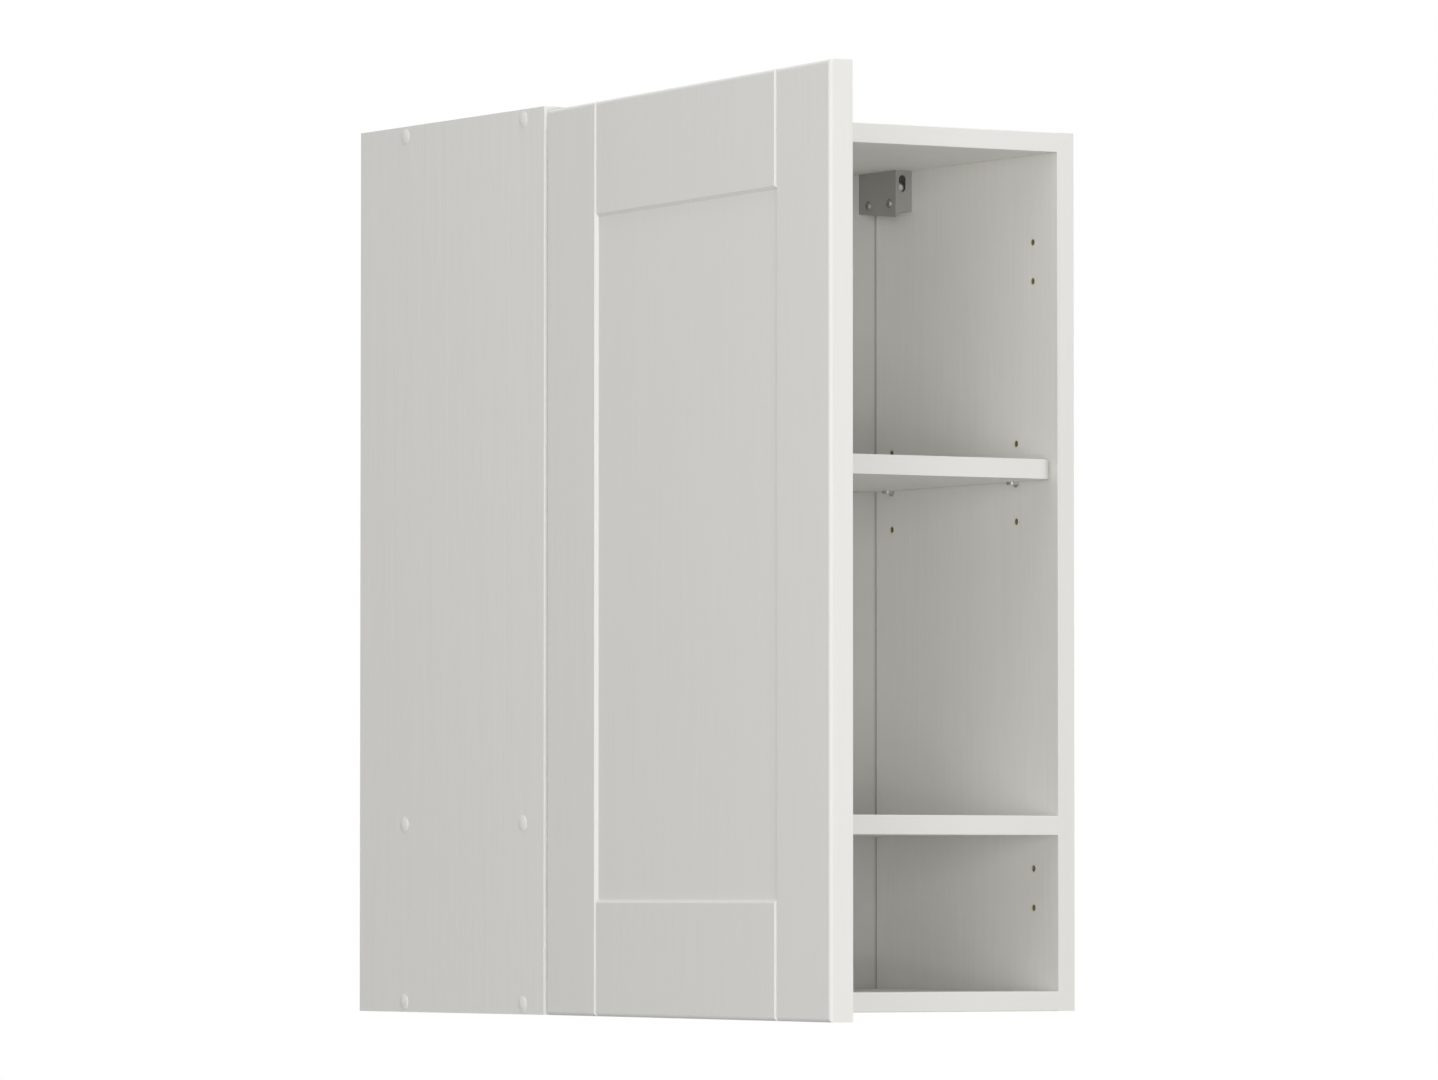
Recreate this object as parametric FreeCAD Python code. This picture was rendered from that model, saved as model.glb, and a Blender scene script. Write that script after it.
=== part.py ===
import FreeCAD, Part
import math
import os

# Wall cabinet with one framed door on concealed hinges, an adjustable shelf and a fixed shelf.
# Millimetres. X runs to the right, Y towards the wall and Z up. The origin lies on the wall plane,
# at the middle of the width and level with the underside. The door is modelled closed and then
# swung to its open place, which is how the cabinet rests.

Vector = FreeCAD.Vector

# Carcass
cabinet_width = 500.0
cabinet_height = 717.0
cabinet_depth = 300.0
board = 16.0
band = 1.0
band_round = 0.7
end_ease = 0.6
fixed_shelf_underside = 143.0

# Back panel in its grooves
back_board = 3.0
back_setback = 17.0
groove_depth = 8.0
groove_clearance = 0.1
groove_front_gap = 1.2
back_end_clearance = 0.5
shelf_back_clearance = 0.2

# Connecting screws, cover caps and dowels
screw_setback = 33.5
screw_rear_setback = 74.5
screw_pitch = cabinet_depth - screw_setback - screw_rear_setback
screw_head_radius = 5.0
screw_head_sink = 0.5
screw_head_cone = 2.5
screw_shank_radius = 3.45
screw_thread_radius = 3.1
screw_length = 48.0
screw_tip = 3.0
screw_tip_radius = 1.0
screw_socket_flats = 4.0
screw_socket_depth = 3.5
bore_clearance = 0.05
bore_end_clearance = 1.0
cap_radius = 6.3
cap_rim = 0.4
cap_dome = 1.5
cap_stem_radius = 1.9
cap_stem_length = 3.2
dowel_radius = 4.0
dowel_length = 30.0
dowel_in_side = 10.0
dowel_chamfer = 1.0

# Rows of system holes
hole_pitch = 32.0
hole_radius = 2.5
hole_depth = 11.0
shelf_hole_setback = 62.4
shelf_hole_rear_setback = 45.6
shelf_hole_spread = cabinet_depth - shelf_hole_setback - shelf_hole_rear_setback
shelf_hole_middle = 433.0
hinge_hole_setback = 37.0

# Adjustable shelf and its supports
shelf_front_setback = 3.0
shelf_side_clearance = 0.8
shelf_rear_clearance = 2.0
shelf_corner_radius = 14.0
support_pin_length = 9.0
support_collar_radius = 3.9
support_collar = 0.7
support_tongue_length = 8.0
support_tongue_width = 8.6
support_tongue_thickness = 2.5
support_tongue_rise = 0.7
support_tip_round = 2.6

# Door
door_thickness = 19.0
door_reveal = 2.0
door_top_reveal = 3.5
door_width = cabinet_width - 2 * door_reveal
door_height = cabinet_height - door_top_reveal
door_gap = 3.15
door_edge_round = 3.0
door_frame = 88.0
door_recess = 2.6
door_groove_width = 4.8
door_open_angle = 95.0
bumper_radius = 4.0
bumper_height = 2.85
bumper_inset = 12.0
bumper_round = 1.2

# Concealed hinges. The pole is the point of the plan about which the door turns, measured from the closed
# door's edge and inner face. Each link joins a pivot in the cup to one in the arm, and both pivots lie at an
# angle and a reach from the pole, so that the link has one length at both ends of the swing. Between the ends
# the pin of the inner link strays a little from the middle of its eye, which is wider by that much.
hinge_inset = 100.0
pole_from_edge = 7.6
pole_depth = 8.8
inner_cup_angle = 95.0
inner_cup_reach = 0.5
inner_arm_reach = 22.0
outer_cup_angle = 75.0
outer_cup_reach = 8.2
outer_arm_reach = 34.0
pivot_radius = 1.25
pivot_clearance = 0.05
cup_pin_clearance = 0.25
cup_edge_distance = 3.0
cup_radius = 17.4
cup_wall = 0.7
cup_depth = 11.9
cup_bore_clearance = 0.1
cup_bore_floor = 0.8
cup_rim_radius = 18.5
cup_flange = 1.0
cup_wing_width = 13.0
cup_wing_length = 60.0
cup_wing_round = 5.0
cup_screw_spacing = 48.0
cup_screw_offset = 6.0
cup_screw_radius = 1.75
cup_screw_head_radius = 3.6
cup_screw_head = 1.6
cup_screw_crown_radius = 2.5
cup_screw_length = 13.0
cup_ear = 0.9
cup_ear_half_width = 2.0
cup_ear_clearance = 0.25
inner_link_half_width = 3.8
inner_link_thickness = 2.4
inner_link_eye = 2.3
inner_knee_right = 12.0
inner_knee_down = 0.8
outer_link_plate = 1.2
outer_link_half_width = 6.5
outer_link_thickness = 2.4
outer_link_eye = 2.3
outer_web_start = 15.5
outer_web_end = 26.0
outer_web_thickness = 1.2
outer_rivet_head = 0.2
arm_half_width = 8.2
arm_sheet = 1.2
arm_front_margin = 3.4
arm_foot_margin = 3.1
arm_nose_margin = 3.8
arm_nose_length = 9.8
arm_slope_length = 9.0
arm_slope_drop = 8.7
arm_length = 62.8
arm_pin_half_length = 8.8
plate_base = 3.0
plate_wing_half_length = 23.5
plate_wing_width = 15.0
plate_wing_round = 6.0
plate_rib_half_width = 6.3
plate_rib_front = 26.0
plate_rib_rear = 62.0
plate_rib_clearance = 0.1
plate_screw_clearance = 0.05
plate_screw_head_radius = 4.5
plate_screw_head = 2.4
plate_screw_crown_radius = 3.4
arm_screw_head_radius = 3.8
arm_screw_head = 1.6
arm_screw_crown_radius = 3.2
arm_screw_shank_radius = 2.4
arm_screw_length = 12.0
arm_screw_setbacks = (33.0, 50.0)
cross_slot_width = 1.1
cross_slot_share = 0.55
cross_slot_depth = 0.9

# Cabinet hangers in the upper rear corners, measured from the side panel, the wall and the top panel
hanger_thickness = 16.0
hanger_wall = 1.6
hanger_front = 77.3
hanger_height_rear = 33.4
hanger_height_front = 39.6
hanger_lip = 5.0
hanger_lip_foot = 0.8
notch_clearance = 0.3
fixing_from_wall = (34.5, 67.5)
fixing_from_top = 27.5
fixing_head_radius = 4.0
fixing_head = 1.8
fixing_crown_radius = 3.0
fixing_radius = 2.25
fixing_depth = 12.0
carriage_from_top = 14.5
carriage_height = 9.0
carriage_side_clearance = 0.6
carriage_front = 72.0
carriage_rear = 30.0
carriage_nose = 2.5
hook_from_side = 9.3
hook_width = 6.0
hook_height = 5.0
hook_clearance = 0.3
hook_front = 60.0
hook_rear = 3.0
hook_tooth = 3.0
hook_tooth_drop = 10.5
hook_lift = 7.0
hook_reach = 8.0
depth_screw_radius = 1.9
depth_screw_head_radius = 3.0
depth_screw_head = 2.6
depth_screw_length = 26.0
hook_bore_depth = 22.0
slot_margin = 0.5
height_screw_radius = 2.4
height_screw_from_side = 5.4
height_screw_setback = 4.4
height_screw_tip_gap = 0.3

# Derived places
half_width = cabinet_width / 2
inner_half = half_width - board
front = -cabinet_depth
back_inner = -back_setback - back_board
top_underside = cabinet_height - board
shelf_underside = shelf_hole_middle + support_tongue_rise
side_signs = {"left": -1, "right": 1}
up = Vector(0, 0, 1)
closeness = 0.000001
hexagon = 6


def from_front(distance):
    """Y of a point that lies this far behind the front edges."""
    return front + distance


def box(x0, x1, y0, y1, z0, z1):
    """Box between two corners, whichever way round the X values come."""
    low = min(x0, x1)
    return Part.makeBox(abs(x1 - x0), y1 - y0, z1 - z0, Vector(low, y0, z0))


def rod(radius, length, base, direction):
    """Cylinder from a base point along a direction."""
    return Part.makeCylinder(radius, length, base, direction)


def cone(base_radius, top_radius, length, base, direction):
    """Cone from a base point along a direction."""
    return Part.makeCone(base_radius, top_radius, length, base, direction)


def united(shapes):
    """One solid from shapes that touch or overlap."""
    return shapes[0].multiFuse(shapes[1:]).removeSplitter()


def prism(points, direction):
    """Closed outline of points, swept along a direction."""
    return Part.Face(Part.makePolygon(points + points[:1])).extrude(direction)


def rounded(shape, radius, chosen):
    """Fillet every edge that the test picks."""
    return shape.makeFillet(radius, [edge for edge in shape.Edges if chosen(edge)])


def runs_along(edge, axis):
    """True for a straight edge parallel to an axis."""
    if len(edge.Vertexes) != 2:
        return False
    span = edge.Vertexes[1].Point - edge.Vertexes[0].Point
    return span.cross(axis).Length < closeness


def export(node, shapes):
    """Write one node, whose solids may be several like pieces."""
    shape = shapes[0] if len(shapes) == 1 else Part.makeCompound(shapes)
    shape.exportStep(os.path.join("parts", node + ".step"))


# Boards and edge bands


def joint_heights():
    """Middle heights of the three boards that stand between the sides."""
    return {
        "top": cabinet_height - board / 2,
        "shelf": fixed_shelf_underside + board / 2,
        "bottom": board / 2,
    }


def joint_screw_places():
    """Y of the two connecting screws of each joint."""
    return (from_front(screw_setback), from_front(screw_setback + screw_pitch))


def dowel_place():
    """Y of the dowel, midway between the two screws."""
    return from_front(screw_setback + screw_pitch / 2)


def outward(sign):
    """Direction out of the cabinet through one side panel."""
    return Vector(sign, 0, 0)


def connecting_screw(sign, y, z, extra=0.0):
    """Screw through a side panel into the end of a board, or its bore when extra is a clearance."""
    inward = outward(-sign)
    head = Vector(sign * half_width, y, z) + inward * screw_head_sink
    neck = head + inward * screw_head_cone
    thread = head + inward * (board - screw_head_sink)
    thread_length = screw_length - board + screw_head_sink - screw_tip
    tip = thread + inward * thread_length
    shank_length = board - screw_head_sink - screw_head_cone
    pieces = [
        cone(screw_head_radius + extra, screw_shank_radius + extra, screw_head_cone, head, inward),
        rod(screw_shank_radius + extra, shank_length, neck, inward),
        rod(screw_thread_radius + extra, thread_length, thread, inward),
    ]
    if extra:
        pieces.append(rod(screw_head_radius + extra, screw_head_sink, head, outward(sign)))
        pieces.append(rod(screw_thread_radius + extra, screw_tip + bore_end_clearance, tip, inward))
        return united(pieces)
    pieces.append(cone(screw_thread_radius, screw_tip_radius, screw_tip, tip, inward))
    socket_corner = screw_socket_flats / 2 / math.cos(math.pi / hexagon)
    corners = []
    for step in range(hexagon):
        angle = 2 * math.pi * step / hexagon
        corners.append(head + Vector(0, socket_corner * math.cos(angle), socket_corner * math.sin(angle)))
    return united(pieces).cut(prism(corners, inward * screw_socket_depth))


def cover_cap(sign, y, z):
    """Domed cap over a screw head, with its stem in the screw's socket."""
    centre = Vector(sign * half_width, y, z)
    out = outward(sign)
    rim = Vector(0, 0, cap_radius)
    crown = centre + out * cap_dome
    shoulder = centre + rim + out * cap_rim
    sphere_radius = (cap_radius ** 2 + (cap_dome - cap_rim) ** 2) / (2 * (cap_dome - cap_rim))
    half_angle = math.asin(cap_radius / sphere_radius) / 2
    sphere_centre = crown - out * sphere_radius
    middle = sphere_centre + out * (sphere_radius * math.cos(half_angle))
    middle = middle + Vector(0, 0, sphere_radius * math.sin(half_angle))
    stem_end = centre - out * cap_stem_length
    stem = Vector(0, 0, cap_stem_radius)
    edges = [
        Part.Arc(crown, middle, shoulder).toShape(),
        Part.LineSegment(shoulder, centre + rim).toShape(),
        Part.LineSegment(centre + rim, centre + stem).toShape(),
        Part.LineSegment(centre + stem, stem_end + stem).toShape(),
        Part.LineSegment(stem_end + stem, stem_end).toShape(),
        Part.LineSegment(stem_end, crown).toShape(),
    ]
    return Part.Face(Part.Wire(edges)).revolve(centre, out, 360)


def wooden_dowel(sign, z):
    """Dowel across a joint, chamfered at both ends."""
    start = Vector(sign * (inner_half + dowel_in_side), dowel_place(), z)
    peg = rod(dowel_radius, dowel_length, start, outward(-sign))
    return peg.makeChamfer(dowel_chamfer, [edge for edge in peg.Edges if edge.Closed])


def dowel_bore(sign, z):
    """Room for one dowel in both boards."""
    start = Vector(sign * (inner_half + dowel_in_side + bore_end_clearance), dowel_place(), z)
    return rod(dowel_radius + bore_clearance, dowel_length + 2 * bore_end_clearance, start, outward(-sign))


def joint_bores(sign, z):
    """All bores of the joint between one side panel and one board."""
    bores = [connecting_screw(sign, y, z, bore_clearance) for y in joint_screw_places()]
    return bores + [dowel_bore(sign, z)]


def back_groove(x0, x1, z0, z1):
    """Groove that takes the back panel."""
    return box(x0, x1, back_inner - groove_front_gap, -back_setback + groove_clearance, z0, z1)


def hinge_heights():
    """Heights of the two hinges, equally far from the ends of the door."""
    return {"upper": door_height - hinge_inset, "lower": hinge_inset}


def system_hole(sign, setback, z):
    """Blind hole in the inner face of a side panel."""
    start = Vector(sign * inner_half, from_front(setback), z)
    return rod(hole_radius, hole_depth, start, outward(sign))


def system_holes(sign):
    """Shelf holes in two columns and the two hinge pairs of one side panel."""
    holes = []
    for setback in (shelf_hole_setback, shelf_hole_setback + shelf_hole_spread):
        for row in (-1, 0, 1):
            holes.append(system_hole(sign, setback, shelf_hole_middle + row * hole_pitch))
    for z in hinge_heights().values():
        for row in (-0.5, 0.5):
            holes.append(system_hole(sign, hinge_hole_setback, z + row * hole_pitch))
    return holes


def side_panel(sign):
    """Full-height side board with its groove, joints and system holes."""
    panel = box(sign * inner_half, sign * half_width, front + band, 0, 0, cabinet_height)
    groove_floor = sign * (inner_half + groove_depth)
    cuts = [back_groove(sign * inner_half, groove_floor, 0, cabinet_height)]
    for z in joint_heights().values():
        cuts += joint_bores(sign, z)
    cuts += system_holes(sign)
    cuts += [fixing_bore(sign, y) for y in fixing_from_wall]
    return panel.cut(cuts)


def cross_board(z0, rear, groove=None):
    """Board between the sides, with eased and bored ends and an optional groove."""
    panel = box(-inner_half, inner_half, front + band, rear, z0, z0 + board)
    panel = panel.makeChamfer(end_ease, [edge for edge in panel.Edges if runs_along(edge, Vector(0, 1, 0))])
    cuts = []
    for sign in side_signs.values():
        cuts += joint_bores(sign, z0 + board / 2)
    if groove:
        cuts.append(back_groove(-inner_half, inner_half, *groove))
    return panel.cut(cuts)


def top_panel():
    """Top board with the back panel's groove below."""
    return cross_board(top_underside, 0, (top_underside, top_underside + groove_depth))


def bottom_panel():
    """Bottom board with the back panel's groove above."""
    return cross_board(0, 0, (board - groove_depth, board))


def fixed_shelf():
    """Fixed shelf that stops at the back panel."""
    return cross_board(fixed_shelf_underside, back_inner - shelf_back_clearance)


def back_panel():
    """Thin back in its grooves, notched at the upper corners for the hangers."""
    reach = groove_depth - back_end_clearance
    side = inner_half + reach
    panel = box(-side, side, back_inner, -back_setback, board - reach, top_underside + reach)
    notch_edge = inner_half - hanger_thickness - notch_clearance
    notch_sill = top_underside - hanger_height_rear - notch_clearance
    for sign in side_signs.values():
        notch = box(sign * notch_edge, sign * half_width, back_inner, 0, notch_sill, cabinet_height)
        panel = panel.cut(notch)
    return panel


def edge_band(x0, x1, z0, z1):
    """Strip along the front of a board, with its two long edges eased."""
    strip = box(x0, x1, front, front + band, z0, z1)
    along = Vector(1, 0, 0) if x1 - x0 > z1 - z0 else up

    def eased(edge):
        return runs_along(edge, along) and abs(edge.CenterOfMass.y - front) < closeness

    return rounded(strip, band_round, eased)


# Adjustable shelf


def shelf_outline(inset):
    """Plan of the shelf with rounded front corners, drawn in by the thickness of the edge band."""
    side = inner_half - shelf_side_clearance - inset
    near = from_front(shelf_front_setback) + inset
    rear = back_inner - shelf_rear_clearance
    radius = shelf_corner_radius - inset
    diagonal = radius * (1 - math.sqrt(0.5))
    z = shelf_underside
    left_arc = Part.Arc(
        Vector(-side, near + radius, z),
        Vector(-side + diagonal, near + diagonal, z),
        Vector(-side + radius, near, z),
    )
    right_arc = Part.Arc(
        Vector(side - radius, near, z),
        Vector(side - diagonal, near + diagonal, z),
        Vector(side, near + radius, z),
    )
    edges = [
        Part.LineSegment(Vector(-side, rear, z), Vector(-side, near + radius, z)).toShape(),
        left_arc.toShape(),
        Part.LineSegment(Vector(-side + radius, near, z), Vector(side - radius, near, z)).toShape(),
        right_arc.toShape(),
        Part.LineSegment(Vector(side, near + radius, z), Vector(side, rear, z)).toShape(),
        Part.LineSegment(Vector(side, rear, z), Vector(-side, rear, z)).toShape(),
    ]
    return Part.Face(Part.Wire(edges))


def adjustable_shelf():
    """Core of the loose shelf."""
    return shelf_outline(band).extrude(up * board)


def shelf_edge_band():
    """Band that runs round the sides and the front of the loose shelf."""
    return shelf_outline(0).extrude(up * board).cut(shelf_outline(band).extrude(up * board))


def shelf_support(sign, setback):
    """Shelf support: a pin in the side panel, a collar and a flat tongue under the shelf."""
    seat = Vector(sign * inner_half, from_front(setback), shelf_hole_middle)
    inward = outward(-sign)
    pin = rod(hole_radius - bore_clearance, support_pin_length, seat, outward(sign))
    top = shelf_hole_middle + support_tongue_rise
    collar = rod(support_collar_radius, support_collar, seat, inward)
    above = box(
        seat.x, seat.x - sign * support_collar,
        seat.y - support_collar_radius, seat.y + support_collar_radius, top, top + 2 * support_collar_radius,
    )
    tongue = box(
        seat.x, seat.x - sign * support_tongue_length,
        seat.y - support_tongue_width / 2, seat.y + support_tongue_width / 2,
        top - support_tongue_thickness, top,
    )
    tip = seat.x - sign * support_tongue_length

    def at_tip(edge):
        return runs_along(edge, up) and abs(edge.CenterOfMass.x - tip) < closeness

    tongue = rounded(tongue, support_tip_round, at_tip)
    return united([pin, collar.cut(above), tongue])


# Door and its hinges, drawn closed


def plan(right, behind, z=0.0):
    """Point given from the left front corner of the carcass."""
    return Vector(right - half_width, front + behind, z)


pole = plan(door_reveal + pole_from_edge, -door_gap - pole_depth)


def polar(centre, angle, reach):
    """Point of the plan at an angle and a reach from a centre."""
    return centre + Vector(reach * math.cos(math.radians(angle)), reach * math.sin(math.radians(angle)), 0)


inner_cup_pivot = polar(pole, inner_cup_angle, inner_cup_reach)
inner_arm_pivot = polar(pole, inner_cup_angle - door_open_angle / 2, inner_arm_reach)
outer_cup_pivot = polar(pole, outer_cup_angle, outer_cup_reach)
outer_arm_pivot = polar(pole, outer_cup_angle - door_open_angle / 2, outer_arm_reach)
inner_knee = inner_cup_pivot + Vector(inner_knee_right, -inner_knee_down, 0)
door_left = door_reveal - half_width
door_inner_face = front - door_gap
cup_centre_x = door_left + cup_edge_distance + cup_radius + cup_bore_clearance
cup_pin_half_length = inner_link_half_width + cup_ear_clearance + cup_ear
arm_front = inner_arm_pivot.y - arm_front_margin
arm_foot = inner_arm_pivot.x - arm_foot_margin
arm_nose = outer_arm_pivot.x + arm_nose_margin
arm_top = arm_nose - arm_slope_drop


def link_swing(arm_pivot, cup_pivot):
    """Degrees by which a link turns about its arm pivot while the door opens."""
    opened_pivot = FreeCAD.Rotation(up, -door_open_angle).multVec(cup_pivot - pole) + pole
    start = cup_pivot - arm_pivot
    end = opened_pivot - arm_pivot
    return math.degrees(math.atan2(start.cross(end).z, start.dot(end)))


def swung(shape, centre, angle):
    """Copy of a shape, turned about an upright axis."""
    copy = shape.copy()
    copy.rotate(centre, up, angle)
    return copy


def opened(shape):
    """Piece of the door, swung from closed to open."""
    return swung(shape, pole, -door_open_angle)


def door_slab():
    """Board of the door with its outer edges rounded."""
    outer_face = door_inner_face - door_thickness
    slab = box(door_left, door_left + door_width, outer_face, door_inner_face, 0, door_height)

    def on_outer_face(edge):
        return all(abs(vertex.Point.y - outer_face) < closeness for vertex in edge.Vertexes)

    return rounded(slab, door_edge_round, on_outer_face)


def rectangle(margin, y):
    """Upright rectangle on the door, a margin in from all four edges."""
    left, right = door_left + margin, door_left + door_width - margin
    low, high = margin, door_height - margin
    corners = [Vector(left, y, low), Vector(right, y, low), Vector(right, y, high), Vector(left, y, high)]
    return Part.makePolygon(corners + corners[:1])


def door_recess_cut():
    """Sunk middle panel with slanting walls."""
    outer_face = door_inner_face - door_thickness
    mouth = rectangle(door_frame - door_recess, outer_face - door_recess)
    floor = rectangle(door_frame + door_recess, outer_face + door_recess)
    return Part.makeLoft([mouth, floor], True, True)


def door_groove_cuts():
    """V grooves along the joints of stiles and rails, from the sunk panel to both ends of the door."""
    outer_face = door_inner_face - door_thickness
    half = door_groove_width / 2
    cuts = []
    for lip in (door_left + door_frame, door_left + door_width - door_frame - door_groove_width):
        for z0 in (0, door_height - door_frame - half):
            corners = [
                Vector(lip - half, outer_face - half, z0),
                Vector(lip + half, outer_face + half, z0),
                Vector(lip + half + door_groove_width, outer_face - half, z0),
            ]
            cuts.append(prism(corners, up * (door_frame + half)))
    return cuts


def cup_screw_places():
    """Centres of the four screws that hold the cups, on the door's inner face."""
    places = []
    for z in hinge_heights().values():
        for row in (-0.5, 0.5):
            x = cup_centre_x + cup_screw_offset
            places.append(Vector(x, door_inner_face, z + row * cup_screw_spacing))
    return places


def cup_screw(seat):
    """Pan-head screw in the flange of a cup."""
    into_door = Vector(0, -1, 0)
    top = seat + Vector(0, cup_flange, 0)
    head = cone(cup_screw_head_radius, cup_screw_crown_radius, cup_screw_head, top, Vector(0, 1, 0))
    shank = rod(cup_screw_radius, cup_screw_length, top, into_door)
    crown = top + Vector(0, cup_screw_head, 0)
    return crossed(united([head, shank]), crown, Vector(0, 1, 0), cup_screw_head_radius)


def crossed(screw, crown, axis, head_radius):
    """Cut a cross slot into the crown of a screw head."""
    half = head_radius * cross_slot_share
    slot = cross_slot_width / 2
    lower = crown - axis * cross_slot_depth
    across = axis.cross(up).normalize() if axis.cross(up).Length > 0.5 else Vector(1, 0, 0)
    other = axis.cross(across).normalize()
    cuts = []
    for long, short in ((across, other), (other, across)):
        corners = [
            lower + long * half + short * slot, lower + long * half - short * slot,
            lower - long * half - short * slot, lower - long * half + short * slot,
        ]
        cuts.append(prism(corners, axis * (2 * cross_slot_depth)))
    return screw.cut(cuts)


def door_front():
    """Framed door with the bores for its two hinges."""
    cuts = [door_recess_cut()] + door_groove_cuts()
    bore_depth = cup_depth + cup_bore_floor
    for z in hinge_heights().values():
        start = Vector(cup_centre_x, door_inner_face, z)
        cuts.append(rod(cup_radius + cup_bore_clearance, bore_depth, start, Vector(0, -1, 0)))
    for seat in cup_screw_places():
        depth = cup_screw_length - cup_flange + bore_end_clearance
        cuts.append(rod(cup_screw_radius + bore_clearance, depth, seat, Vector(0, -1, 0)))
    return door_slab().cut(cuts)


def hinge_cup(z):
    """Drawn steel cup with its winged flange."""
    centre = Vector(cup_centre_x, door_inner_face, z)
    into_door = Vector(0, -1, 0)
    wing_x = cup_centre_x + cup_screw_offset
    wing = box(
        wing_x - cup_wing_width / 2, wing_x + cup_wing_width / 2,
        door_inner_face, door_inner_face + cup_flange,
        z - cup_wing_length / 2, z + cup_wing_length / 2,
    )
    wing = rounded(wing, cup_wing_round, lambda edge: runs_along(edge, Vector(0, 1, 0)))
    shell = united([
        rod(cup_radius, cup_depth, centre, into_door),
        rod(cup_rim_radius, cup_flange, centre, Vector(0, 1, 0)),
        wing,
    ])
    mouth = centre + Vector(0, cup_flange, 0)
    cuts = [rod(cup_radius - cup_wall, cup_depth - cup_wall + cup_flange, mouth, into_door)]
    for seat in cup_screw_places():
        cuts.append(rod(cup_screw_radius + bore_clearance, cup_flange, seat, Vector(0, 1, 0)))
    cup = united([shell.cut(cuts)] + cup_ears(z))
    return cup.cut(upright_pin(inner_cup_pivot, z, cup_pin_half_length, bore_clearance))


def cup_ears(z):
    """Two ears on the floor of a cup that hold the pin of the inner link."""
    floor = door_inner_face - cup_depth + cup_wall / 2
    ears = []
    for low in (z - cup_pin_half_length, z + cup_pin_half_length - cup_ear):
        centre = Vector(inner_cup_pivot.x, inner_cup_pivot.y, low)
        left, right = centre.x - cup_ear_half_width, centre.x + cup_ear_half_width
        post = box(left, right, floor, centre.y, low, low + cup_ear)
        ears.append(united([post, rod(cup_ear_half_width, cup_ear, centre, up)]))
    return ears


def upright_pin(pivot, z, half_length, extra=0.0):
    """Upright pivot pin centred on a hinge, or its hole when extra is a clearance."""
    return rod(pivot_radius + extra, 2 * half_length, Vector(pivot.x, pivot.y, z - half_length), up)


def stroke(points, thickness, z0, z1):
    """Flat bar of even thickness along a row of plan points, with round ends and knees."""
    half = thickness / 2
    height = up * (z1 - z0)
    pieces = [rod(half, z1 - z0, Vector(point.x, point.y, z0), up) for point in points]
    for start, end in zip(points, points[1:]):
        along = (end - start).normalize()
        across = Vector(-along.y, along.x, 0) * half
        corners = [start + across, end + across, end - across, start - across]
        pieces.append(prism([Vector(corner.x, corner.y, z0) for corner in corners], height))
    return united(pieces)


def inner_link(z):
    """Cranked inner link, which reaches round the rim of the cup when the door is open."""
    low, high = z - inner_link_half_width, z + inner_link_half_width
    pieces = [stroke([inner_cup_pivot, inner_knee, inner_arm_pivot], inner_link_thickness, low, high)]
    for pivot in (inner_cup_pivot, inner_arm_pivot):
        pieces.append(rod(inner_link_eye, high - low, Vector(pivot.x, pivot.y, low), up))
    link = united(pieces)
    for pivot, clearance in ((inner_cup_pivot, cup_pin_clearance), (inner_arm_pivot, pivot_clearance)):
        link = link.cut(upright_pin(pivot, z, inner_link_half_width, clearance))
    return swung(link, inner_arm_pivot, link_swing(inner_arm_pivot, inner_cup_pivot))


def outer_link(z):
    """Outer link: two plates joined by a web, with rivets at the cup end and eyes at the arm end."""
    pieces = []
    inside = outer_link_half_width - outer_link_plate
    for low in (z - outer_link_half_width, z + inside):
        high = low + outer_link_plate
        pieces.append(stroke([outer_cup_pivot, outer_arm_pivot], outer_link_thickness, low, high))
        for pivot in (outer_cup_pivot, outer_arm_pivot):
            pieces.append(rod(outer_link_eye, outer_link_plate, Vector(pivot.x, pivot.y, low), up))
        rivet = Vector(outer_cup_pivot.x, outer_cup_pivot.y, low - outer_rivet_head)
        pieces.append(rod(pivot_radius, outer_link_plate + 2 * outer_rivet_head, rivet, up))
    along = (outer_arm_pivot - outer_cup_pivot).normalize()
    across = Vector(along.y, -along.x, 0)
    start = outer_cup_pivot + along * outer_web_start + across * (outer_link_thickness / 2)
    end = outer_cup_pivot + along * outer_web_end + across * (outer_link_thickness / 2)
    corners = [start, end, end - across * outer_web_thickness, start - across * outer_web_thickness]
    low = z - outer_link_half_width
    web_outline = [Vector(corner.x, corner.y, low) for corner in corners]
    pieces.append(prism(web_outline, up * (2 * outer_link_half_width)))
    link = united(pieces)
    link = link.cut(upright_pin(outer_arm_pivot, z, outer_link_half_width, pivot_clearance))
    return swung(link, outer_arm_pivot, link_swing(outer_arm_pivot, outer_cup_pivot))


def arm_outline(margin, z):
    """Side view of the arm from above: a raised nose over the links and a long foot."""
    rear = arm_front + arm_length
    nose, top = arm_nose - margin, arm_top - margin
    start, end, foot = arm_front, rear, arm_foot
    if margin:
        start, end, foot = arm_front - margin, rear + margin, arm_foot - margin
    corners = [
        (foot, start), (nose, start), (nose, arm_front + arm_nose_length - margin / 2),
        (top, arm_front + arm_nose_length + arm_slope_length - margin / 2), (top, end), (foot, end),
    ]
    return [Vector(x, y, z) for x, y in corners]


def arm_screw_seats(z):
    """Places of the adjusting and the fixing screw on top of one arm."""
    return [Vector(arm_top, from_front(setback), z) for setback in arm_screw_setbacks]


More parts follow.
